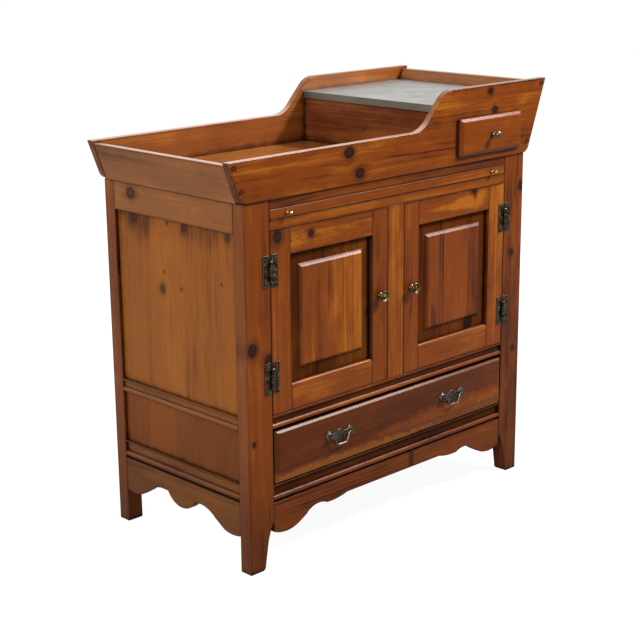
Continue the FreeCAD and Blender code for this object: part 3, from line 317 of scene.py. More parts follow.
def make_figure():
    """What a log's rings, fibres and flecks look like at a place in it, for any sawn face."""
    tree = bpy.data.node_groups.new("pine_figure", "ShaderNodeTree")
    sockets = (("Place", "Vector"), ("End", "Float"), ("Tone", "Float"), ("Patchy", "Float"),
               ("Gold", "Color"), ("Brown", "Color"), ("Dark", "Color"))
    for name, kind in sockets:
        tree.interface.new_socket(name, in_out="INPUT", socket_type=f"NodeSocket{kind}")
    for name, kind in (("Colour", "Color"), ("Roughness", "Float"), ("Height", "Float")):
        tree.interface.new_socket(name, in_out="OUTPUT", socket_type=f"NodeSocket{kind}")
    given = add_node(tree, "NodeGroupInput").outputs
    place = given["Place"]

    # Rings: distance from the heart, wandering along the tree, with thick and thin years.
    across = reckon_place(tree, "MULTIPLY", place, (0, 1, 1))
    wander = noise(tree, place, WANDER_WAVES, 1.0)
    ripple = noise(tree, place, RIPPLE_WAVES, 2.0)
    distance = reckon(tree, "MULTIPLY_ADD", wander, RING_WANDER, reckon_place(tree, "LENGTH", across))
    distance = reckon(tree, "MULTIPLY_ADD", ripple, RING_RIPPLE, distance)
    years = reckon(tree, "DIVIDE", distance, RING_PITCH)
    thickness = add_node(tree, "TexNoise", {"W": years, "Scale": 0.31, "Detail": 1.0},
                         noise_dimensions="1D")
    years = reckon(tree, "MULTIPLY_ADD", thickness.outputs["Fac"], 2.6, years)
    season = reckon(tree, "FRACT", years)
    late = reckon(tree, "MULTIPLY", remap(tree, season, 0.2, 0.9), remap(tree, season, 1.0, 0.9))
    year = reckon(tree, "FLOOR", years)
    vigour = add_node(tree, "TexWhiteNoise", {"W": year}, noise_dimensions="1D").outputs["Value"]
    fading = remap(tree, noise(tree, place, FADING_WAVES, 2.0), -0.18, 0.16)
    late = reckon(tree, "MULTIPLY", late, reckon(tree, "MULTIPLY", vigour, fading))

    # Stain takes unevenly: fine fibres, long streaks, blotches and broad clouds.
    fibre = noise(tree, place, FIBRE_WAVES, 3.0, 0.6)
    streak = noise(tree, place, STREAK_WAVES, 4.0, 0.74)
    blotch = noise(tree, place, BLOTCH_WAVES, 4.0, 0.6)
    cloud = noise(tree, place, CLOUD_WAVES, 2.0)
    ringed = reckon(tree, "MULTIPLY", late, given["Patchy"])
    depth = reckon(tree, "MULTIPLY_ADD", ringed, LATE_WOOD_DEPTH, PLAIN_DEPTH)
    depth = reckon(tree, "MULTIPLY_ADD", fibre, FIBRE_DEPTH, depth)
    patches = reckon(tree, "MULTIPLY", streak, STREAK_DEPTH)
    patches = reckon(tree, "MULTIPLY_ADD", blotch, BLOTCH_DEPTH, patches)
    patches = reckon(tree, "MULTIPLY_ADD", cloud, CLOUD_DEPTH, patches)
    depth = reckon(tree, "SUBTRACT", depth, reckon(tree, "MULTIPLY", patches, given["Patchy"]))
    depth = reckon(tree, "SUBTRACT", depth, given["Tone"])
    depth = reckon(tree, "MULTIPLY_ADD", given["End"], END_GRAIN_DEPTH, depth)

    # Flecks: small dark marks beaten and spattered into the finish.
    cells = add_node(tree, "TexVoronoi", {"Vector": place, "Scale": FLECK_CELLS})
    rare = add_node(tree, "SeparateColor", {"Color": cells.outputs["Color"]}).outputs[0]
    size = reckon(tree, "MULTIPLY", remap(tree, rare, 0.5, 1.0), FLECK_SIZE)
    edge = reckon(tree, "ADD", size, 0.02)
    inside = {"Value": cells.outputs["Distance"], "From Min": edge, "From Max": size}
    fleck = add_node(tree, "MapRange", inside).outputs["Result"]
    fleck = reckon(tree, "MULTIPLY", fleck, remap(tree, rare, 0.5, 0.6))
    depth = reckon(tree, "MULTIPLY_ADD", fleck, FLECK_DEPTH, depth)

    upper = blend_colour(tree, remap(tree, depth, 0.0, 0.5), given["Gold"], given["Brown"])
    colour = blend_colour(tree, remap(tree, depth, 0.5, 1.05), upper, given["Dark"])
    roughness = reckon(tree, "MULTIPLY_ADD", fibre, 0.10, LACQUER_ROUGHNESS)
    roughness = reckon(tree, "MULTIPLY_ADD", blotch, 0.12, roughness)
    roughness = reckon(tree, "MULTIPLY_ADD", given["End"], 0.25, roughness)
    height = reckon(tree, "MULTIPLY_ADD", late, 0.25, reckon(tree, "MULTIPLY", fibre, 0.9))
    height = reckon(tree, "MULTIPLY_ADD", fleck, -1.2, height)
    add_node(tree, "NodeGroupOutput", {"Colour": colour, "Roughness": roughness, "Height": height})
    return tree


pine_figure = make_figure()


def coordinates(tree, kind):
    """Where a point lies ("Object") or which way it faces ("Normal"), as X, Y and Z."""
    return add_node(tree, "SeparateXYZ", {0: add_node(tree, "TexCoord").outputs[kind]}).outputs


def part_staves(tree, laid, tone, stave):
    """Give each strip of a glued-up board a log and a tone of its own."""
    across = add_node(tree, "SeparateXYZ", {0: laid}).outputs[1]
    strip = reckon(tree, "FLOOR", reckon(tree, "DIVIDE", across, stave))
    lot = add_node(tree, "TexWhiteNoise", {"W": strip}, noise_dimensions="1D").outputs
    shift = reckon_place(tree, "MULTIPLY", lot["Color"], (9, 0.11, 0.03))
    paler = reckon(tree, "MULTIPLY_ADD", lot["Value"], 0.3, -0.15)
    return reckon_place(tree, "ADD", laid, shift), reckon(tree, "ADD", tone, paler)


KNOT_LENGTH = 1.15
KNOT_PUSH = 0.8


def push_grain(tree, laid, place, knots):
    """Push the grain aside at each knot, and find how many radii off the nearest one is."""
    nearest = None
    for along, across, radius in knots:
        away = reckon_place(tree, "SUBTRACT", laid, (along, across, 0))
        away = reckon_place(tree, "MULTIPLY", away, (1 / (KNOT_LENGTH * radius), 1 / radius, 0))
        distance = reckon_place(tree, "LENGTH", away)
        pull = reckon(tree, "MULTIPLY", reckon(tree, "MULTIPLY", distance, distance), -0.16)
        pull = reckon(tree, "MULTIPLY", reckon(tree, "EXPONENT", pull), KNOT_PUSH)
        push = scaled(tree, reckon_place(tree, "MULTIPLY", away, (0, radius, 0)), pull)
        place = reckon_place(tree, "SUBTRACT", place, push)
        nearest = distance if nearest is None else reckon(tree, "MINIMUM", nearest, distance)
    return place, nearest


def add_flames(tree, laid, tone, flames):
    """Feathered figure, paler where its lift is above zero and darker where it is below."""
    for along, across, half_length, half_width, lift, fray in flames:
        away = reckon_place(tree, "SUBTRACT", laid, (along, across, 0))
        away = reckon_place(tree, "MULTIPLY", away, (1 / half_length, 1 / half_width, 0))
        frayed = reckon(tree, "MULTIPLY_ADD", noise(tree, laid, (30, 80, 20), 3.0, 0.6), 1.8 * fray,
                        reckon_place(tree, "LENGTH", away))
        feathers = noise(tree, laid, (70, 190, 20), 3.0, 0.6)
        feathers = reckon(tree, "MULTIPLY_ADD", feathers, 3.0 * fray, 1.0)
        share = reckon(tree, "MULTIPLY", remap(tree, frayed, 1.2, 0.45), lift)
        tone = reckon(tree, "MULTIPLY_ADD", share, feathers, tone)
    return tone


KNOT_HEART = (0.042, 0.0105, 0.0040, 1)
KNOT_RIM = (0.013, 0.0035, 0.0020, 1)


def paint_knots(tree, laid, nearest, colour, height, knot_share):
    """Each knot has a ringed heart, a darker and lower rim, and a smoky halo."""
    ragged = reckon(tree, "MULTIPLY_ADD", noise(tree, laid, (70, 90, 90), 3.0), 0.45, nearest)
    halo = remap(tree, ragged, 2.6, 0.9, 0.0, 0.45 * knot_share)
    colour = scaled(tree, colour, reckon(tree, "SUBTRACT", 1.0, halo))
    rings = reckon(tree, "SINE", reckon(tree, "MULTIPLY", ragged, 15))
    heart = blend_colour(tree, remap(tree, rings, -1, 1, 0.0, 0.45), KNOT_HEART, KNOT_RIM)
    colour = blend_colour(tree, remap(tree, ragged, 1.15, 0.7, 0.0, knot_share), colour, heart)
    rim = reckon(tree, "MULTIPLY", remap(tree, ragged, 0.45, 0.9), remap(tree, ragged, 1.2, 0.95))
    colour = blend_colour(tree, reckon(tree, "MULTIPLY", rim, 0.75 * knot_share), colour, KNOT_RIM)
    return colour, reckon(tree, "MULTIPLY_ADD", rim, -0.6, height)


LACQUER_SHINE = 0.18
POOLED_SHINE = 0.06
BARE_SHINE = 0.1


def pool_glaze_and_shade(tree, laid, colour, start, stop, shade):
    """What is sunk from start to stop behind a front face is darker, as pooled glaze and as painted
    shade, and dull.
    """
    ragged = noise(tree, laid, (18, 60, 60), 3.0)
    inward = reckon(tree, "MULTIPLY_ADD", ragged, 0.004, coordinates(tree, "Object")[1])
    in_front = remap(tree, coordinates(tree, "Normal")[1], 0.2, -0.2)
    sunk_share = reckon(tree, "MULTIPLY", remap(tree, inward, start, stop), in_front)
    shine = reckon(tree, "MULTIPLY_ADD", sunk_share, POOLED_SHINE - LACQUER_SHINE, LACQUER_SHINE)
    return scaled(tree, colour, reckon(tree, "MULTIPLY_ADD", sunk_share, shade - 1, 1.0)), shine


GLAZE_AND_SHADE_REACH = 0.022
CORNER_GLAZE_AND_SHADE = 0.20
GLAZE_LINE = 0.0080
GLAZE_LINE_SHADE = 0.35


def glaze_and_shade_corners(tree, laid, colour, corners):
    """Darker in the corners, as glaze and as painted shade, and a dark glaze line beside each edge."""
    # Painted shade with glaze: corners and recesses darken by how shut in they are.
    open_air = add_node(tree, "AmbientOcclusion", {"Distance": GLAZE_AND_SHADE_REACH}, samples=8).outputs["AO"]
    uneven = reckon(tree, "MULTIPLY_ADD", noise(tree, laid, (30, 60, 60), 3.0), 0.5, open_air)
    colour = scaled(tree, colour, remap(tree, uneven, 0.36, 0.94, corners, 1.0))
    rounded = add_node(tree, "Bevel", {"Radius": GLAZE_LINE}, samples=4).outputs["Normal"]
    flat = add_node(tree, "NewGeometry").outputs["Normal"]
    sameness = add_node(tree, "VectorMath", {0: rounded, 1: flat}, operation="DOT_PRODUCT")
    line = remap(tree, sameness.outputs["Value"], 0.86, 1.0, GLAZE_LINE_SHADE, 1.0)
    return scaled(tree, colour, line)


SIDE_SHEEN_AND_SHADE = (0.05, 0.056, 0.046, 1)
SIDE_SHEEN_SHARE = 0.28
FOOT_SHADE = 0.66
FOOT_HEIGHT = 0.42


def sheen_sides_darken_feet(tree, colour, darkening):
    """A painted grey sheen and shade where a face looks out to either side, and darker towards the
    floor.
    """
    spot = coordinates(tree, "Object")
    outward = reckon(tree, "MULTIPLY", coordinates(tree, "Normal")[0], reckon(tree, "SIGN", spot[0]))
    # Painted sheen and shade: faces that look out to the sides are greyed and darkened.
    colour = blend_colour(tree, remap(tree, outward, 0.5, 0.9, 0.0, darkening), colour, SIDE_SHEEN_AND_SHADE)
    return scaled(tree, colour, remap(tree, spot[2], 0.0, FOOT_HEIGHT, FOOT_SHADE, 1.0))


WORN_AND_LIT_PALE = (0.80, 0.52, 0.38, 1)
PALE_TOPS_BELOW = (0.920, 0.960)
BARELY_PALE = 0.1


def pale_upper_faces(tree, laid, colour, rubbed):
    """Paler on faces that look up, as wear and as painted light from above, less so on the high end of
    the tray.
    """
    ragged = noise(tree, laid, (12, 60, 60), 3.0)
    # Painted light from above, with some wear: faces that look up are made paler.
    facing_up = reckon(tree, "MULTIPLY_ADD", ragged, 0.5, coordinates(tree, "Normal")[2])
    reached = remap(tree, coordinates(tree, "Object")[2], *PALE_TOPS_BELOW, rubbed, BARELY_PALE)
    share = reckon(tree, "MULTIPLY", remap(tree, facing_up, 0.4, 0.9), reached)
    return blend_colour(tree, share, colour, WORN_AND_LIT_PALE)


STAIN_GOLD = (0.41, 0.120, 0.0065, 1)
STAIN_BROWN = (0.225, 0.047, 0.0030, 1)
STAIN_DARK = (0.066, 0.0120, 0.0020, 1)
ORANGE_STAIN = (STAIN_GOLD, STAIN_BROWN, STAIN_DARK)


def pine(name, knots=(), flames=(), stain=ORANGE_STAIN, stave=None, patchy=1.0, knot_share=1.0,
         sunk=None, corners=CORNER_GLAZE_AND_SHADE, darkening=SIDE_SHEEN_SHARE, rubbed=0.0, glazed_and_shaded=True):
    """Stained pine with its own knots and flames, in one board or in glued staves of a width. It takes a
    glaze and is darker in its corners and hollows, as glaze and as painted shade, with a painted sheen
    where it looks out to the side, and darker towards the floor; if asked, faces that look up are
    paler, as wear and as painted light. Timber with no glaze is bare."""
    material = bpy.data.materials.new(name)
    material.use_nodes = True
    tree = material.node_tree
    laid = add_node(tree, "Attribute", attribute_name="log").outputs["Vector"]
    end = add_node(tree, "Attribute", attribute_name="end_grain").outputs["Fac"]
    tone = add_node(tree, "Attribute", attribute_name="tone").outputs["Fac"]
    place = laid
    if stave:
        place, tone = part_staves(tree, laid, tone, stave)
    place, nearest = push_grain(tree, laid, place, knots)
    tone = add_flames(tree, laid, tone, flames)
    gold, brown, dark = stain
    figure = add_node(tree, "Group", node_tree=pine_figure)
    for socket, source in (("Place", place), ("End", end), ("Tone", tone)):
        tree.links.new(source, figure.inputs[socket])
    for socket, setting in (("Patchy", patchy), ("Gold", gold), ("Brown", brown), ("Dark", dark)):
        figure.inputs[socket].default_value = setting
    colour = figure.outputs["Colour"]
    height = figure.outputs["Height"]
    shader = tree.nodes["Principled BSDF"]
    shader.inputs["Specular IOR Level"].default_value = LACQUER_SHINE if glazed_and_shaded else BARE_SHINE
    if nearest is not None:
        colour, height = paint_knots(tree, laid, nearest, colour, height, knot_share)
    if sunk:
        colour, shine = pool_glaze_and_shade(tree, laid, colour, *sunk)
        tree.links.new(shine, shader.inputs["Specular IOR Level"])
    if glazed_and_shaded:
        colour = glaze_and_shade_corners(tree, laid, colour, corners)
        colour = sheen_sides_darken_feet(tree, colour, darkening)
    if rubbed:
        colour = pale_upper_faces(tree, laid, colour, rubbed)
    tree.links.new(colour, shader.inputs["Base Color"])
    tree.links.new(figure.outputs["Roughness"], shader.inputs["Roughness"])
    bump = add_node(tree, "Bump", {"Height": height, "Strength": 0.15, "Distance": 0.00025})
    tree.links.new(bump.outputs["Normal"], shader.inputs["Normal"])
    return material


def finish(piece, material):
    piece.data.materials.clear()
    piece.data.materials.append(material)
    for face in piece.data.polygons:
        face.material_index = 0
    return piece


POST_KNOTS = {
    "post_front_left": [(-0.459, 0.510, 0.012), (-0.414, 0.478, 0.011), (-0.46, 0.30, 0.005)],
    "post_front_right": [(0.437, 0.743, 0.010), (0.405, 0.579, 0.007), (0.42, 0.33, 0.006)],
    "post_back_left": [(-0.455, 0.62, 0.009), (-0.45, 0.25, 0.007)],
    "post_back_right": [(0.43, 0.41, 0.010)],
}
# The back left post's darker tone is painted shade under the tray's overhang.
POST_TONES = {
    "post_front_left": -0.06,
    "post_front_right": -0.22,
    "post_back_left": -0.18,
    "post_back_right": 0.0,
}
for post, spots in POST_KNOTS.items():
    timber = planed(post, POST_EASING, tone=POST_TONES[post])
    finish(timber, pine(f"{post}_pine", knots_on(post, FRONT, spots)))


# ----------------------------------------------------------------------------------------------
# Side frames. Moulded rails run between the posts, grooved for thin panels glued up from upright
# staves. The panels stand back from the rails. The side's stains are a yellower brown with a painted
# grey sheen, greyest on the top rails.

RAIL_EASING = 0.0006
PANEL_EASING = 0.0008
UPPER_STAVE = 0.108
LOWER_STAVE = 0.094
ACROSS, BACKWARD, UP = range(3)
# The side's stains carry a painted grey sheen in their blue, greyest in GREY_SHEEN_STAIN.
SIDE_SHEEN_STAIN = ((0.40, 0.140, 0.0190, 1), (0.260, 0.079, 0.0120, 1), (0.095, 0.026, 0.0060, 1))
LOWER_STAIN = ((0.36, 0.112, 0.0170, 1), (0.215, 0.060, 0.0100, 1), (0.085, 0.021, 0.0050, 1))
GREY_SHEEN_STAIN = ((0.36, 0.138, 0.0400, 1), (0.220, 0.080, 0.0260, 1), (0.092, 0.031, 0.0115, 1))
PANEL_SIDE_SHEEN = 0.04
RAIL_SIDE_SHEEN = 0.18

# Knots as (y, z, radius), and dark patches as (y, z, half length, half width, lift, fray): the patches
#  along the panels' top are painted shade under the top rail.
SIDE_RAIL_KNOTS = [(0.161, 0.801, 0.013)]
SIDE_PANEL_KNOTS = [
    (0.163, 0.744, 0.011), (-0.011, 0.745, 0.009), (0.047, 0.748, 0.004), (-0.152, 0.744, 0.007),
    (0.070, 0.596, 0.009), (0.005, 0.606, 0.0035), (-0.130, 0.640, 0.003), (0.062, 0.636, 0.003),
]
SIDE_PANEL_DARK_PATCHES = [(0.0, 0.765, 0.060, 0.30, -0.22, 0.3), (0.15, 0.740, 0.060, 0.06, -0.2, 0.3)]

top_rails = planed("side_top_rails", RAIL_EASING, tone=-0.04)
rail_knots = knots_on("side_top_rails", SIDE, SIDE_RAIL_KNOTS)
finish(top_rails, pine("side_top_rail_pine", rail_knots, stain=GREY_SHEEN_STAIN, patchy=0.7, knot_share=0.7,
                       darkening=PANEL_SIDE_SHEEN))
side_pine = pine("side_pine", stain=SIDE_SHEEN_STAIN, patchy=0.7, darkening=RAIL_SIDE_SHEEN)
for rails in ("side_mid_rails", "side_bottom_rails"):
    finish(planed(rails, RAIL_EASING, tone=-0.24), side_pine)

upper_panels = planed("side_upper_panels", PANEL_EASING, along=UP)
upper_knots = knots_on("side_upper_panels", SIDE, SIDE_PANEL_KNOTS)
dark_patches = knots_on("side_upper_panels", SIDE, SIDE_PANEL_DARK_PATCHES)
finish(upper_panels, pine("side_upper_panel_pine", upper_knots, dark_patches, stain=SIDE_SHEEN_STAIN,
                          stave=UPPER_STAVE, patchy=0.7, knot_share=0.6, darkening=PANEL_SIDE_SHEEN))
lower_panels = planed("side_lower_panels", PANEL_EASING, along=UP, tone=-0.14)
finish(lower_panels, pine("side_lower_panel_pine", stain=LOWER_STAIN, stave=LOWER_STAVE, patchy=0.25,
                          darkening=PANEL_SIDE_SHEEN))


# ----------------------------------------------------------------------------------------------
# Front frame. Rails between the front posts, the two lower ones moulded with a hollow and a bead,
# and a stile between the doors, all flush with the posts' faces.

FLUSH_EASING = 0.0003
BEAD_FACE = 0.0008
HOLLOW_FLOOR = 0.0050
HOLLOW_SHADE = 0.42
# How dark the moulded rails go in their corners, as glaze and as painted shade.
RAIL_GLAZE_AND_SHADE = 0.45

rail_pine = pine("rail_pine")
for rail, tone in (("front_top_rail", -0.2), ("front_slide_rail", 0.06), ("center_stile", 0.08)):
    finish(planed(rail, FLUSH_EASING, tone=tone), rail_pine)
for rail, tone in (("front_mid_rail", 0.0), ("front_bottom_rail", -0.12)):
    moulded = planed(rail, RAIL_EASING, tone=tone)
    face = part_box(rail)[0].y
    # The hollow of each is painted darker, as pooled glaze and as painted shade.
    hollow = (face + BEAD_FACE, face + HOLLOW_FLOOR, HOLLOW_SHADE)
    finish(moulded, pine(f"{rail}_pine", corners=RAIL_GLAZE_AND_SHADE, sunk=hollow))


# ----------------------------------------------------------------------------------------------
# Aprons. Pine boards sawn to lobes and hollows along their lower edges, and set a little behind
# the posts' faces below the bottom rails. A dark streak stands upright across the front one.

APRON_EASING = 0.0007
APRON_STREAKS = [(0.042, 0.133, 0.011, 0.030, -0.55, 0.5)]
# How dark the apron goes in its corners and under the rail's lip, as glaze and as painted shade.
APRON_GLAZE_AND_SHADE = 0.7

front_apron = planed("front_apron", APRON_EASING, tone=-0.14)
streaks = knots_on("front_apron", FRONT, APRON_STREAKS)
finish(front_apron, pine("front_apron_pine", flames=streaks, corners=APRON_GLAZE_AND_SHADE))
finish(planed("side_aprons", APRON_EASING, tone=-0.30), side_pine)


# ----------------------------------------------------------------------------------------------
# Back. Upright pine boards stand edge to edge in grooved rails between the back posts. They are
# planed, but neither stained nor lacquered.

BARE_STAVE = 0.09
BARE_PINE = ((0.60, 0.41, 0.23, 1), (0.50, 0.30, 0.14, 1), (0.27, 0.13, 0.055, 1))

bare_pine = pine("bare_pine", stain=BARE_PINE, glazed_and_shaded=False)
bare_staves = pine("bare_staves", stain=BARE_PINE, stave=BARE_STAVE, glazed_and_shaded=False)
for boards in ("back_boards", "back_rails"):
    finish(planed(boards, RAIL_EASING), bare_pine)


# ----------------------------------------------------------------------------------------------
# Inside. The cupboard's floor and its shelf are glued up from staves of bare pine, and cleats and
# runners carry them and the drawers. A steel catch waits behind each door, at the centre stile.

for board in ("cupboard_floor", "cupboard_shelf"):
    finish(planed(board, RAIL_EASING), bare_staves)
for strip in ("shelf_cleats", "drawer_runners", "slide_runners", "tray_drawer_runners"):
    finish(planed(strip, RAIL_EASING), bare_pine)


def brushed_metal(name, colour, stain, roughness, grain_waves, edge=None):
    """Drawn metal with fine lines, and stains that dull it. Its upright faces can be painted a darker
    colour of their own, as shade."""
    material = bpy.data.materials.new(name)
    material.use_nodes = True
    tree = material.node_tree
    place = add_node(tree, "TexCoord").outputs["Object"]
    lines = noise(tree, place, grain_waves, 3.0)
    clouds = noise(tree, place, (14, 14, 14), 4.0, 0.6)
    shader = tree.nodes["Principled BSDF"]
    share = remap(tree, reckon(tree, "MULTIPLY_ADD", lines, 0.3, clouds), -0.25, 0.3)
    tint = blend_colour(tree, share, colour, stain)
    if edge:
        # Painted shade: upright faces are darkened towards the edge colour.
        upright = reckon(tree, "MULTIPLY_ADD", clouds, 0.5, coordinates(tree, "Normal")[2])
        tint = blend_colour(tree, remap(tree, upright, 0.75, 0.3), tint, edge)
    tree.links.new(tint, shader.inputs["Base Color"])
    dull = reckon(tree, "MULTIPLY_ADD", clouds, 0.35, roughness)
    tree.links.new(dull, shader.inputs["Roughness"])
    shader.inputs["Metallic"].default_value = 1.0
    bump = add_node(tree, "Bump", {"Height": lines, "Strength": 0.12, "Distance": 0.0002})
    tree.links.new(bump.outputs["Normal"], shader.inputs["Normal"])
    return material


CATCH_EASING = 0.0012
CATCH_STEEL = (0.55, 0.55, 0.54, 1)
CATCH_STAIN = (0.32, 0.31, 0.29, 1)

catch_steel = brushed_metal("catch_steel", CATCH_STEEL, CATCH_STAIN, roughness=0.4,
                            grain_waves=(900, 90, 90))
catches = settle(eased("door_catches", CATCH_EASING), "door_catches")
finish(catches, catch_steel)


# ----------------------------------------------------------------------------------------------
# Tray. Long pine boards at front and back, each with an S-shaped step, are screwed to canted end
# boards, with dark plugs over the screws. A floor, a divider and a raised deck lie between them.

TRAY_EASING = 0.0022
PLUG_EASING = 0.0006
FLOOR_STAVE = 0.11
FRONT_BOARD_KNOTS = [
    (-0.171, 0.895, 0.0125), (-0.138, 0.846, 0.0115), (0.307, 0.985, 0.008), (0.324, 0.940, 0.0075),
]
TRAY_STAIN = ((0.40, 0.140, 0.0300, 1), (0.245, 0.072, 0.0170, 1), (0.090, 0.022, 0.0075, 1))
PLUG_STAIN = ((0.19, 0.042, 0.007, 1), (0.12, 0.024, 0.005, 1), (0.05, 0.010, 0.003, 1))
END_SIDE_SHEEN = 0.04
PALE_TOP_SHARE = 0.5

front_board = planed("tray_front_board", TRAY_EASING, tone=-0.03)
board_knots = knots_on("tray_front_board", FRONT, FRONT_BOARD_KNOTS)
finish(front_board, pine("front_board_pine", board_knots, patchy=1.25, rubbed=PALE_TOP_SHARE))
back_board = planed("tray_back_board", TRAY_EASING, tone=0.0)
finish(back_board, pine("back_board_pine", stain=TRAY_STAIN, rubbed=PALE_TOP_SHARE))
# The tray's end boards carry the painted grey sheen of the side's stains.
end_pine = pine("tray_end_pine", stain=GREY_SHEEN_STAIN, patchy=0.9, darkening=END_SIDE_SHEEN, rubbed=PALE_TOP_SHARE)
for board, tone in (("tray_end_left", -0.07), ("tray_end_right", 0.18)):
    finish(planed(board, TRAY_EASING, along=BACKWARD, tone=tone), end_pine)
floor_boards = planed("tray_floor", RAIL_EASING, tone=0.2)
finish(floor_boards, pine("tray_floor_pine", stain=TRAY_STAIN, stave=FLOOR_STAVE, patchy=0.7))
# The divider's dark tone is painted shade beside the raised deck.
divider = planed("tray_divider", RAIL_EASING, tone=-0.36)
finish(divider, pine("divider_pine", stain=TRAY_STAIN, patchy=0.7))
finish(planed("tray_deck", RAIL_EASING, along=ACROSS), bare_pine)
finish(planed("tray_plugs", PLUG_EASING), pine("plug_pine", stain=PLUG_STAIN))


# ----------------------------------------------------------------------------------------------
# Deck top. A sheet of zinc laid on the raised deck and folded down over its left edge, dulled to
# grey with darker stains where it has been wet and rubbed.

ZINC_EASING = 0.0005
ZINC_GREY = (0.44, 0.44, 0.42, 1)
ZINC_STAIN = (0.28, 0.28, 0.26, 1)
# The folded edge and the other upright faces of the zinc are painted darker, as shade.
ZINC_EDGE_SHADE = (0.15, 0.14, 0.11, 1)

zinc = brushed_metal("zinc_sheet", ZINC_GREY, ZINC_STAIN, roughness=0.46,
                     grain_waves=(25, 300, 300), edge=ZINC_EDGE_SHADE)
deck_zinc = settle(eased("deck_zinc", ZINC_EASING), "deck_zinc")
finish(deck_zinc, zinc)


# ----------------------------------------------------------------------------------------------
# Hinges. Cast H hinges in antiqued brass, screwed to the faces of post and stile, each with a pin
# whose small turned ends stand out above and below the knuckles.

LEAF_EASING = 0.0004
RUBBED_EDGE = 0.0012
CREVICE_REACH = 0.006
HINGE_BRIGHT = (0.60, 0.49, 0.32, 1)
HINGE_DARK = (0.038, 0.028, 0.017, 1)
SCREW_BRIGHT = (0.22, 0.17, 0.10, 1)
SCREW_DARK = (0.012, 0.009, 0.006, 1)


def antiqued_brass(name, bright, dark, roughness):
    """Brass darkened all over, rubbed bright again on its edges and dirty in its corners."""
    material = bpy.data.materials.new(name)
    material.use_nodes = True
    tree = material.node_tree
    place = add_node(tree, "TexCoord").outputs["Object"]
    clouds = noise(tree, place, (150, 150, 150), 4.0, 0.6)
    rounded = add_node(tree, "Bevel", {"Radius": RUBBED_EDGE}, samples=6).outputs["Normal"]
    flat = add_node(tree, "NewGeometry").outputs["Normal"]
    sameness = add_node(tree, "VectorMath", {0: rounded, 1: flat}, operation="DOT_PRODUCT")
    rubbed = remap(tree, sameness.outputs["Value"], 0.995, 0.90)
    share = reckon(tree, "ADD", rubbed, remap(tree, clouds, -0.02, 0.30, 0.0, 0.45))
    crevice = add_node(tree, "AmbientOcclusion", {"Distance": CREVICE_REACH}, samples=8).outputs["AO"]
    darkening = remap(tree, crevice, 0.35, 0.95, 0.2, 1.0)
    colour = scaled(tree, blend_colour(tree, share, dark, bright), darkening)
    shader = tree.nodes["Principled BSDF"]
    tree.links.new(colour, shader.inputs["Base Color"])
    tree.links.new(reckon(tree, "MULTIPLY_ADD", clouds, 0.4, roughness), shader.inputs["Roughness"])
    shader.inputs["Metallic"].default_value = 1.0
    bump = add_node(tree, "Bump", {"Height": clouds, "Strength": 0.3, "Distance": 0.0003})
    tree.links.new(bump.outputs["Normal"], shader.inputs["Normal"])
    return material


hinge_brass = antiqued_brass("hinge_brass", HINGE_BRIGHT, HINGE_DARK, roughness=0.38)
screw_brass = antiqued_brass("screw_brass", SCREW_BRIGHT, SCREW_DARK, roughness=0.45)
for leaves in ("frame_hinge_leaves", "left_door_hinge_leaves", "right_door_hinge_leaves"):
    finish(settle(eased(leaves, LEAF_EASING), leaves), hinge_brass)


def corners_of(solid):
    places = [Vector(place) for triangle in solid for place in triangle]
    low = Vector(min(place[axis] for place in places) for axis in range(3))
    high = Vector(max(place[axis] for place in places) for axis in range(3))
    return low, high


CREASE_TURN = math.radians(50)


def turned(name, foot, rings, sides=32, axis=(0, -1, 0), smoothing=2):
    """A turning: a disc at its foot, drawn out ring by ring as (distance, radius), then smoothed."""
    forward = Vector(axis)
    turn = Vector((0, 0, 1)).rotation_difference(forward).to_euler()
    bpy.ops.object.select_all(action="DESELECT")
    bpy.ops.mesh.primitive_circle_add(vertices=sides, radius=rings[0][1], fill_type="NGON",
                                      location=Vector(foot) + forward * rings[0][0], rotation=turn)
    piece = bpy.context.object
    piece.name = name
    piece.data.name = name
    bpy.ops.object.transform_apply(location=True, rotation=True, scale=True)
    bpy.ops.object.mode_set(mode="EDIT")
    bpy.ops.mesh.select_all(action="SELECT")
    for (back, last), (front, radius) in zip(rings, rings[1:]):
        bpy.ops.mesh.extrude_region_move(TRANSFORM_OT_translate={"value": forward * (front - back)})
        ratio = radius / last
        size = [1 if abs(component) > 0.5 else ratio for component in forward]
        bpy.ops.transform.resize(value=size, center_override=Vector(foot) + forward * front)
    bpy.ops.mesh.select_all(action="SELECT")
    bpy.ops.mesh.normals_make_consistent(inside=False)
    bpy.ops.object.mode_set(mode="OBJECT")
    if smoothing:
        smooth = piece.modifiers.new("smooth", "SUBSURF")
        smooth.levels = smoothing
        smooth.render_levels = smoothing
        bpy.ops.object.modifier_apply(modifier=smooth.name)
    bpy.ops.object.shade_smooth_by_angle(angle=CREASE_TURN)
    return piece


def join(name, pieces):
    bpy.ops.object.select_all(action="DESELECT")
    for piece in pieces:
        piece.select_set(True)
    bpy.context.view_layer.objects.active = pieces[0]
    bpy.ops.object.join()
    pieces[0].name = name
    pieces[0].data.name = name
    return pieces[0]


# Pins: a turned ball end above and below each barrel.
PIN_END_LENGTH = 0.0042
PIN_END_RINGS = [
    (0.0, 0.0016), (0.0020, 0.0016), (0.0021, 0.0030), (0.0026, 0.0030), (0.0030, 0.0022),
    (0.0036, 0.0024), (PIN_END_LENGTH, 0.0012),
]
pins = []
for number, solid in enumerate(solids_of("hinge_pins")):
    low, high = corners_of(solid)
    centre = (low + high) / 2
    half = (high.z - low.z) / 2
    for way, up in (("top", 1), ("foot", -1)):
        foot = Vector((centre.x, centre.y, centre.z + up * (half - PIN_END_LENGTH)))
        pins.append(turned(f"pin_{number}_{way}", foot, PIN_END_RINGS, 16, (0, 0, up), 1))
pin_ends = settle(join("hinge_pin_ends", pins), "hinge_pins")
finish(pin_ends, hinge_brass)

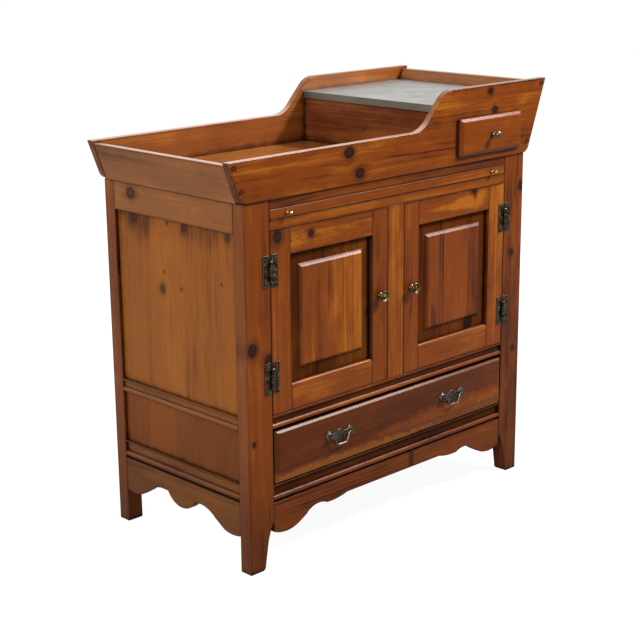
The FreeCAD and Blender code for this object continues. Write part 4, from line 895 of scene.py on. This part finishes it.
# Screws: domed heads with a filed slot, each left at its own angle.
SCREW_HEAD = 0.0032
SCREW_RISE = 0.0009
SCREW_RINGS = [
    (0.0, SCREW_HEAD), (0.0003, SCREW_HEAD), (0.0006, 0.0028), (0.0008, 0.0018), (SCREW_RISE, 0.0007),
]
SLOT_WIDTH = 0.0008
SLOT_DEPTH = 0.00055


def slotted_screw(name, centre, face, angle):
    """A domed head cut across by a slot: the dome is turned and the slot sawn out of it."""
    head = turned(name, (centre.x, face, centre.z), SCREW_RINGS, 20, (0, -1, 0), 1)
    bpy.ops.mesh.primitive_cube_add(size=1, location=(centre.x, face - SCREW_RISE, centre.z),
                                    rotation=(0, angle, 0),
                                    scale=(3 * SCREW_HEAD, 2 * SLOT_DEPTH, SLOT_WIDTH))
    saw = bpy.context.object
    select_only(head)
    slot = head.modifiers.new("slot", "BOOLEAN")
    slot.operation = "DIFFERENCE"
    slot.object = saw
    bpy.ops.object.modifier_apply(modifier=slot.name)
    bpy.data.objects.remove(saw)
    return head


chance = random.Random("hinge screws")
for screws in ("frame_hinge_screws", "left_door_hinge_screws", "right_door_hinge_screws"):
    heads = []
    for number, solid in enumerate(solids_of(screws)):
        low, high = corners_of(solid)
        angle = chance.uniform(0, math.pi)
        heads.append(slotted_screw(f"{screws}_{number}", (low + high) / 2, low.y + SCREW_RISE, angle))
    finish(settle(join(f"{screws}_heads", heads), screws), screw_brass)


# ----------------------------------------------------------------------------------------------
# Doors. Pine stiles and rails round a raised panel glued up from staves. The panel's field stands
# nearly flush with the frame, and a turned brass knob is set in the meeting stile.

DOOR_EASING = 0.0003
STICKING_EASING = 0.0070
STICKING_LENGTH = 0.1
NEAR = 0.0005
PANEL_STAVE = 0.085
FIELD_EASING = 0.0014
DOOR_TONES = {
    "left_door_rails": -0.04,
    "left_door_stiles": -0.14,
    "right_door_rails": 0.0,
    "right_door_stiles": 0.02,
}
DOOR_FLAMES = {
    "left_door_rails": [
        (-0.330, 0.727, 0.055, 0.017, 0.30, 0.9), (-0.215, 0.730, 0.075, 0.012, 0.26, 0.9),
    ],
    "right_door_rails": [
        (0.165, 0.726, 0.070, 0.009, 0.34, 0.6), (0.240, 0.727, 0.065, 0.021, 0.38, 0.7),
        (0.285, 0.744, 0.030, 0.010, 0.28, 0.6), (0.262, 0.742, 0.010, 0.014, -0.45, 0.6),
    ],
}
DOOR_RAIL_KNOTS = {
    "left_door_rails": [(-0.350, 0.728, 0.0035), (-0.285, 0.735, 0.0075)],
    "right_door_rails": [(0.257, 0.756, 0.009)],
}
DOOR_STILE_KNOTS = {
    "left_door_stiles": [(-0.383, 0.742, 0.0115)],
    "right_door_stiles": [],
}
PANEL_TONES = {"left": 0.12, "right": -0.09}
PANEL_PATCHES = {"left": 1.15, "right": 0.75}
PANEL_KNOTS = {"left": [], "right": [(0.250, 0.429, 0.013)]}
SHOULDER_TOP = 0.001
SHOULDER_FOOT = 0.0075
MARGIN_SHADES = {"left": 0.40, "right": 0.64}


def sticking_test(rails):
    """A test for the long front edge of a door's lower rail, which borders the panel from below."""
    low, high = min((corners_of(solid) for solid in solids_of(rails)), key=lambda corners: corners[0].z)

    def is_sticking(edge):
        ends = [vertex.co for vertex in edge.verts]
        at_front = all(abs(end.y - low.y) < NEAR for end in ends)
        at_top = all(abs(end.z - high.z) < NEAR for end in ends)
        return at_front and at_top and edge.calc_length() > STICKING_LENGTH

    return is_sticking


for side in ("left", "right"):
    for part, knots in (("rails", DOOR_RAIL_KNOTS), ("stiles", DOOR_STILE_KNOTS)):
        node = f"{side}_door_{part}"
        timber = planed(node, DOOR_EASING, tone=DOOR_TONES[node], rounder=STICKING_EASING,
                        is_rounder=sticking_test(f"{side}_door_rails"))
        flames = knots_on(node, FRONT, DOOR_FLAMES.get(node, ()))
        finish(timber, pine(f"{node}_pine", knots_on(node, FRONT, knots[node]), flames))
    panel = planed(f"{side}_door_panel", FIELD_EASING, along=UP, tone=PANEL_TONES[side])
    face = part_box(f"{side}_door_panel")[0].y
    # The margin round the field is painted darker, as pooled glaze and as painted shade beside the
    # frame.
    margin = (face + SHOULDER_TOP, face + SHOULDER_FOOT, MARGIN_SHADES[side])
    spots = knots_on(f"{side}_door_panel", FRONT, PANEL_KNOTS[side])
    finish(panel, pine(f"{side}_panel_pine", spots, stave=PANEL_STAVE,
                       patchy=PANEL_PATCHES[side], sunk=margin))

KNOB_BRIGHT = (0.70, 0.54, 0.31, 1)
KNOB_DARK = (0.12, 0.080, 0.034, 1)
knob_brass = antiqued_brass("knob_brass", KNOB_BRIGHT, KNOB_DARK, roughness=0.22)
DOOR_KNOB_RINGS = [
    (0.0, 0.0080), (0.0008, 0.0080), (0.0022, 0.0078), (0.0034, 0.0068), (0.0044, 0.0050),
    (0.0052, 0.0045), (0.0095, 0.0045), (0.0106, 0.0062), (0.0118, 0.0100), (0.0138, 0.0126),
    (0.0156, 0.0132), (0.0172, 0.0130), (0.0179, 0.0120), (0.0176, 0.0110), (0.0160, 0.0100),
    (0.0138, 0.0082), (0.0134, 0.0060), (0.0142, 0.0048), (0.0160, 0.0042), (0.0168, 0.0028),
    (0.0171, 0.0012),
]
for side in ("left", "right"):
    node = f"{side}_door_knob"
    low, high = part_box(node)
    foot = Vector(((low.x + high.x) / 2, high.y, (low.z + high.z) / 2))
    knob = turned(f"{node}_turning", foot, DOOR_KNOB_RINGS, 40)
    finish(settle(knob, node), knob_brass)


# ----------------------------------------------------------------------------------------------
# Wide drawer. A thick pine front with sloped edges on a plain box, with two bat-wing pulls of
# antiqued brass, whose bails hang from pierced posts.

FACE_EASING = 0.0018
BOTTOM_EASING = 0.0005
PLATE_EASING = 0.00035
BAIL_EASING = 0.0002
PLATE_THICKNESS = 0.0015
PULL_POST_RADIUS = 0.0050
BAIL_ROD_RADIUS = 0.0022
PALE_BANDS = [(0.24, 0.212, 0.36, 0.040, 0.48, 0.5), (-0.24, 0.199, 0.34, 0.020, 0.78, 0.5)]
PLATE_BRIGHT = (0.66, 0.60, 0.47, 1)
PLATE_DARK = (0.078, 0.069, 0.052, 1)
BAIL_BRIGHT = (0.62, 0.55, 0.42, 1)
BAIL_DARK = (0.14, 0.12, 0.085, 1)

drawer_front = planed("drawer_front", FACE_EASING, tone=-0.40)
pale_bands = knots_on("drawer_front", FRONT, PALE_BANDS)
finish(drawer_front, pine("drawer_front_pine", flames=pale_bands, patchy=0.3))
finish(planed("drawer_box", RAIL_EASING), bare_pine)
finish(planed("drawer_bottom", BOTTOM_EASING), bare_staves)

pull_brass = antiqued_brass("pull_brass", PLATE_BRIGHT, PLATE_DARK, roughness=0.32)
plates = eased("drawer_pull_plates", PLATE_EASING)
details = [plates]
ROSETTE_RINGS = [(0.0, 0.0088), (0.0006, 0.0088), (0.0012, 0.0080), (0.0016, 0.0066), (0.0024, 0.0052)]
for solid in solids_of("drawer_pull_plates"):
    low, high = corners_of(solid)
    centre = (low.x + high.x) / 2
    bail_low, bail_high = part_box("left_bail" if centre < 0 else "right_bail")
    level = bail_high.z - BAIL_ROD_RADIUS
    reach = (bail_high.x - bail_low.x) / 2 - PULL_POST_RADIUS
    for way in (-1, 1):
        post = Vector((centre + way * reach, high.y - PLATE_THICKNESS, level))
        details.append(turned("rosette", post, ROSETTE_RINGS, 24))
pull_plates = settle(join("pull_plates", details), "drawer_pull_plates")
finish(pull_plates, pull_brass)
bail_brass = antiqued_brass("bail_brass", BAIL_BRIGHT, BAIL_DARK, roughness=0.28)
for bail in ("left_bail", "right_bail"):
    finish(settle(eased(bail, BAIL_EASING), bail), bail_brass)


# ----------------------------------------------------------------------------------------------
# Small tray drawer. Its pine front laps over the opening in the tray's front board, with a sloped
# edge all round and a little mushroom knob of turned brass.

finish(planed("tray_drawer_front", FACE_EASING, tone=-0.07), rail_pine)
finish(planed("tray_drawer_box", RAIL_EASING), bare_pine)

TRAY_KNOB_RINGS = [
    (0.0, 0.0048), (0.0010, 0.0054), (0.0035, 0.0058), (0.0060, 0.0052), (0.0076, 0.0036),
    (0.0086, 0.0030), (0.0135, 0.0030), (0.0150, 0.0046), (0.0166, 0.0080), (0.0180, 0.0090),
    (0.0196, 0.0088), (0.0214, 0.0074), (0.0230, 0.0048), (0.0238, 0.0018),
]
low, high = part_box("tray_drawer_knob")
foot = Vector(((low.x + high.x) / 2, high.y, (low.z + high.z) / 2))
tray_knob = turned("tray_drawer_knob_turning", foot, TRAY_KNOB_RINGS)
TRAY_KNOB_BRIGHT = (0.58, 0.48, 0.32, 1)
TRAY_KNOB_DARK = (0.17, 0.13, 0.080, 1)
tray_knob_brass = antiqued_brass("tray_knob_brass", TRAY_KNOB_BRIGHT, TRAY_KNOB_DARK, roughness=0.26)
finish(settle(tray_knob, "tray_drawer_knob"), tray_knob_brass)


# ----------------------------------------------------------------------------------------------
# Slide-out board. A flat work board of pine in a slot under the top rail, with a small brass ball
# knob at each end to draw it out by.

finish(planed("slide_board", FACE_EASING, tone=0.02), rail_pine)

BALL_RINGS = [
    (0.0, 0.0036), (0.0008, 0.0038), (0.0026, 0.0038), (0.0038, 0.0030), (0.0044, 0.0020),
    (0.0082, 0.0020), (0.0090, 0.0031), (0.0106, 0.0043), (0.0125, 0.0045), (0.0144, 0.0042),
    (0.0158, 0.0032), (0.0166, 0.0019), (0.0168, 0.0008),
]
slide_low, slide_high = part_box("slide_knobs")
knob_radius = (slide_high.z - slide_low.z) / 2
knob_level = (slide_low.z + slide_high.z) / 2
balls = []
for x in (slide_low.x + knob_radius, slide_high.x - knob_radius):
    balls.append(turned("slide_knob", (x, slide_high.y, knob_level), BALL_RINGS, 24))
BALL_BRIGHT = (0.90, 0.76, 0.50, 1)
BALL_DARK = (0.45, 0.34, 0.18, 1)
ball_brass = antiqued_brass("ball_brass", BALL_BRIGHT, BALL_DARK, roughness=0.2)
finish(settle(join("slide_ball_knobs", balls), "slide_knobs"), ball_brass)


# ----------------------------------------------------------------------------------------------
# Studio. A wide floor and an even surround are both seen as white, but light the cabinet less than
# that. Two lamps stand high at the front right, a broad one at the left, and one behind.

FLOOR_SIZE = 60
WHITE = (1, 1, 1, 1)
FLOOR_COLOUR = (0.2, 0.2, 0.2, 1)
FLOOR_GLOW = 0.9
MIRRORED_GLOW = 0.14

bpy.ops.object.select_all(action="DESELECT")
bpy.ops.mesh.primitive_plane_add(size=FLOOR_SIZE)
floor = bpy.context.object
floor.name = "studio_floor"
floor_paint = bpy.data.materials.new("studio_floor_paint")
floor_paint.use_nodes = True
paint = floor_paint.node_tree
shader = paint.nodes["Principled BSDF"]
shader.inputs["Base Color"].default_value = FLOOR_COLOUR
shader.inputs["Roughness"].default_value = 0.9
shader.inputs["Specular IOR Level"].default_value = 0.1
shader.inputs["Emission Color"].default_value = WHITE
rays = add_node(paint, "LightPath").outputs
mirrored = reckon(paint, "MAXIMUM", rays["Is Glossy Ray"], rays["Is Transmission Ray"])
glow = reckon(paint, "MULTIPLY", rays["Is Camera Ray"], FLOOR_GLOW)
glow = reckon(paint, "MULTIPLY_ADD", mirrored, MIRRORED_GLOW, glow)
paint.links.new(glow, shader.inputs["Emission Strength"])
floor.data.materials.append(floor_paint)

SKY_LIGHT = 0.36
scene = bpy.context.scene
scene.world = bpy.data.worlds.new("studio_surround")
scene.world.use_nodes = True
sky = scene.world.node_tree
path = add_node(sky, "LightPath").outputs
seen = reckon(sky, "MAXIMUM", path["Is Camera Ray"], path["Is Glossy Ray"])
seen = reckon(sky, "MAXIMUM", seen, path["Is Transmission Ray"])
strength = add_node(sky, "MapRange", {"Value": seen, "To Min": SKY_LIGHT, "To Max": 1.0})
sky.links.new(strength.outputs["Result"], sky.nodes["Background"].inputs["Strength"])
sky.nodes["Background"].inputs["Color"].default_value = WHITE


MIDDLE = (0, 0, 0.5)


def area_light(name, place, size, power):
    """A square lamp of a size in metres and a power in watts, turned to the cabinet's middle."""
    light = bpy.data.lights.new(name, "AREA")
    light.shape = "SQUARE"
    light.size = size
    light.energy = power
    lamp = bpy.data.objects.new(name, light)
    turn = (Vector(place) - Vector(MIDDLE)).to_track_quat("Z", "Y").to_matrix().to_4x4()
    lamp.matrix_world = Matrix.Translation(place) @ turn
    scene.collection.objects.link(lamp)


area_light("key_light", (2.34, -2.34, 3.56), size=0.5, power=185)
area_light("window_light", (3.04, -1.42, 3.50), size=0.9, power=60)
area_light("fill_light", (-4.1, -0.7, 1.9), size=2.4, power=145)
area_light("back_light", (-0.6, 4.5, 1.5), size=2.0, power=110)


# ----------------------------------------------------------------------------------------------
# Camera. A long lens at the front left, a little above the tray, so that the front, the left side
# and the inside of the tray all show.

CAMERA_PLACE = (-2.43152, -2.43140, 1.39654)
CAMERA_AZIMUTH = math.radians(-44.403157)
CAMERA_HEIGHT = math.radians(15.475085)
CAMERA_ROLL = math.radians(-0.525828)
CAMERA_LENS = 82.957

back = Vector((
    math.sin(CAMERA_AZIMUTH) * math.cos(CAMERA_HEIGHT),
    -math.cos(CAMERA_AZIMUTH) * math.cos(CAMERA_HEIGHT),
    math.sin(CAMERA_HEIGHT),
))
level = Vector((0, 0, 1)).cross(back).normalized()
upright = back.cross(level)
right = level * math.cos(CAMERA_ROLL) + upright * math.sin(CAMERA_ROLL)
above = upright * math.cos(CAMERA_ROLL) - level * math.sin(CAMERA_ROLL)
lens = bpy.data.cameras.new("camera")
lens.lens = CAMERA_LENS
lens.sensor_width = 36
lens.clip_end = 100
camera = bpy.data.objects.new("camera", lens)
facing = Matrix((right, above, back)).transposed()
camera.matrix_world = Matrix.Translation(CAMERA_PLACE) @ facing.to_4x4()
scene.collection.objects.link(camera)
scene.camera = camera
scene.view_settings.view_transform = "Standard"
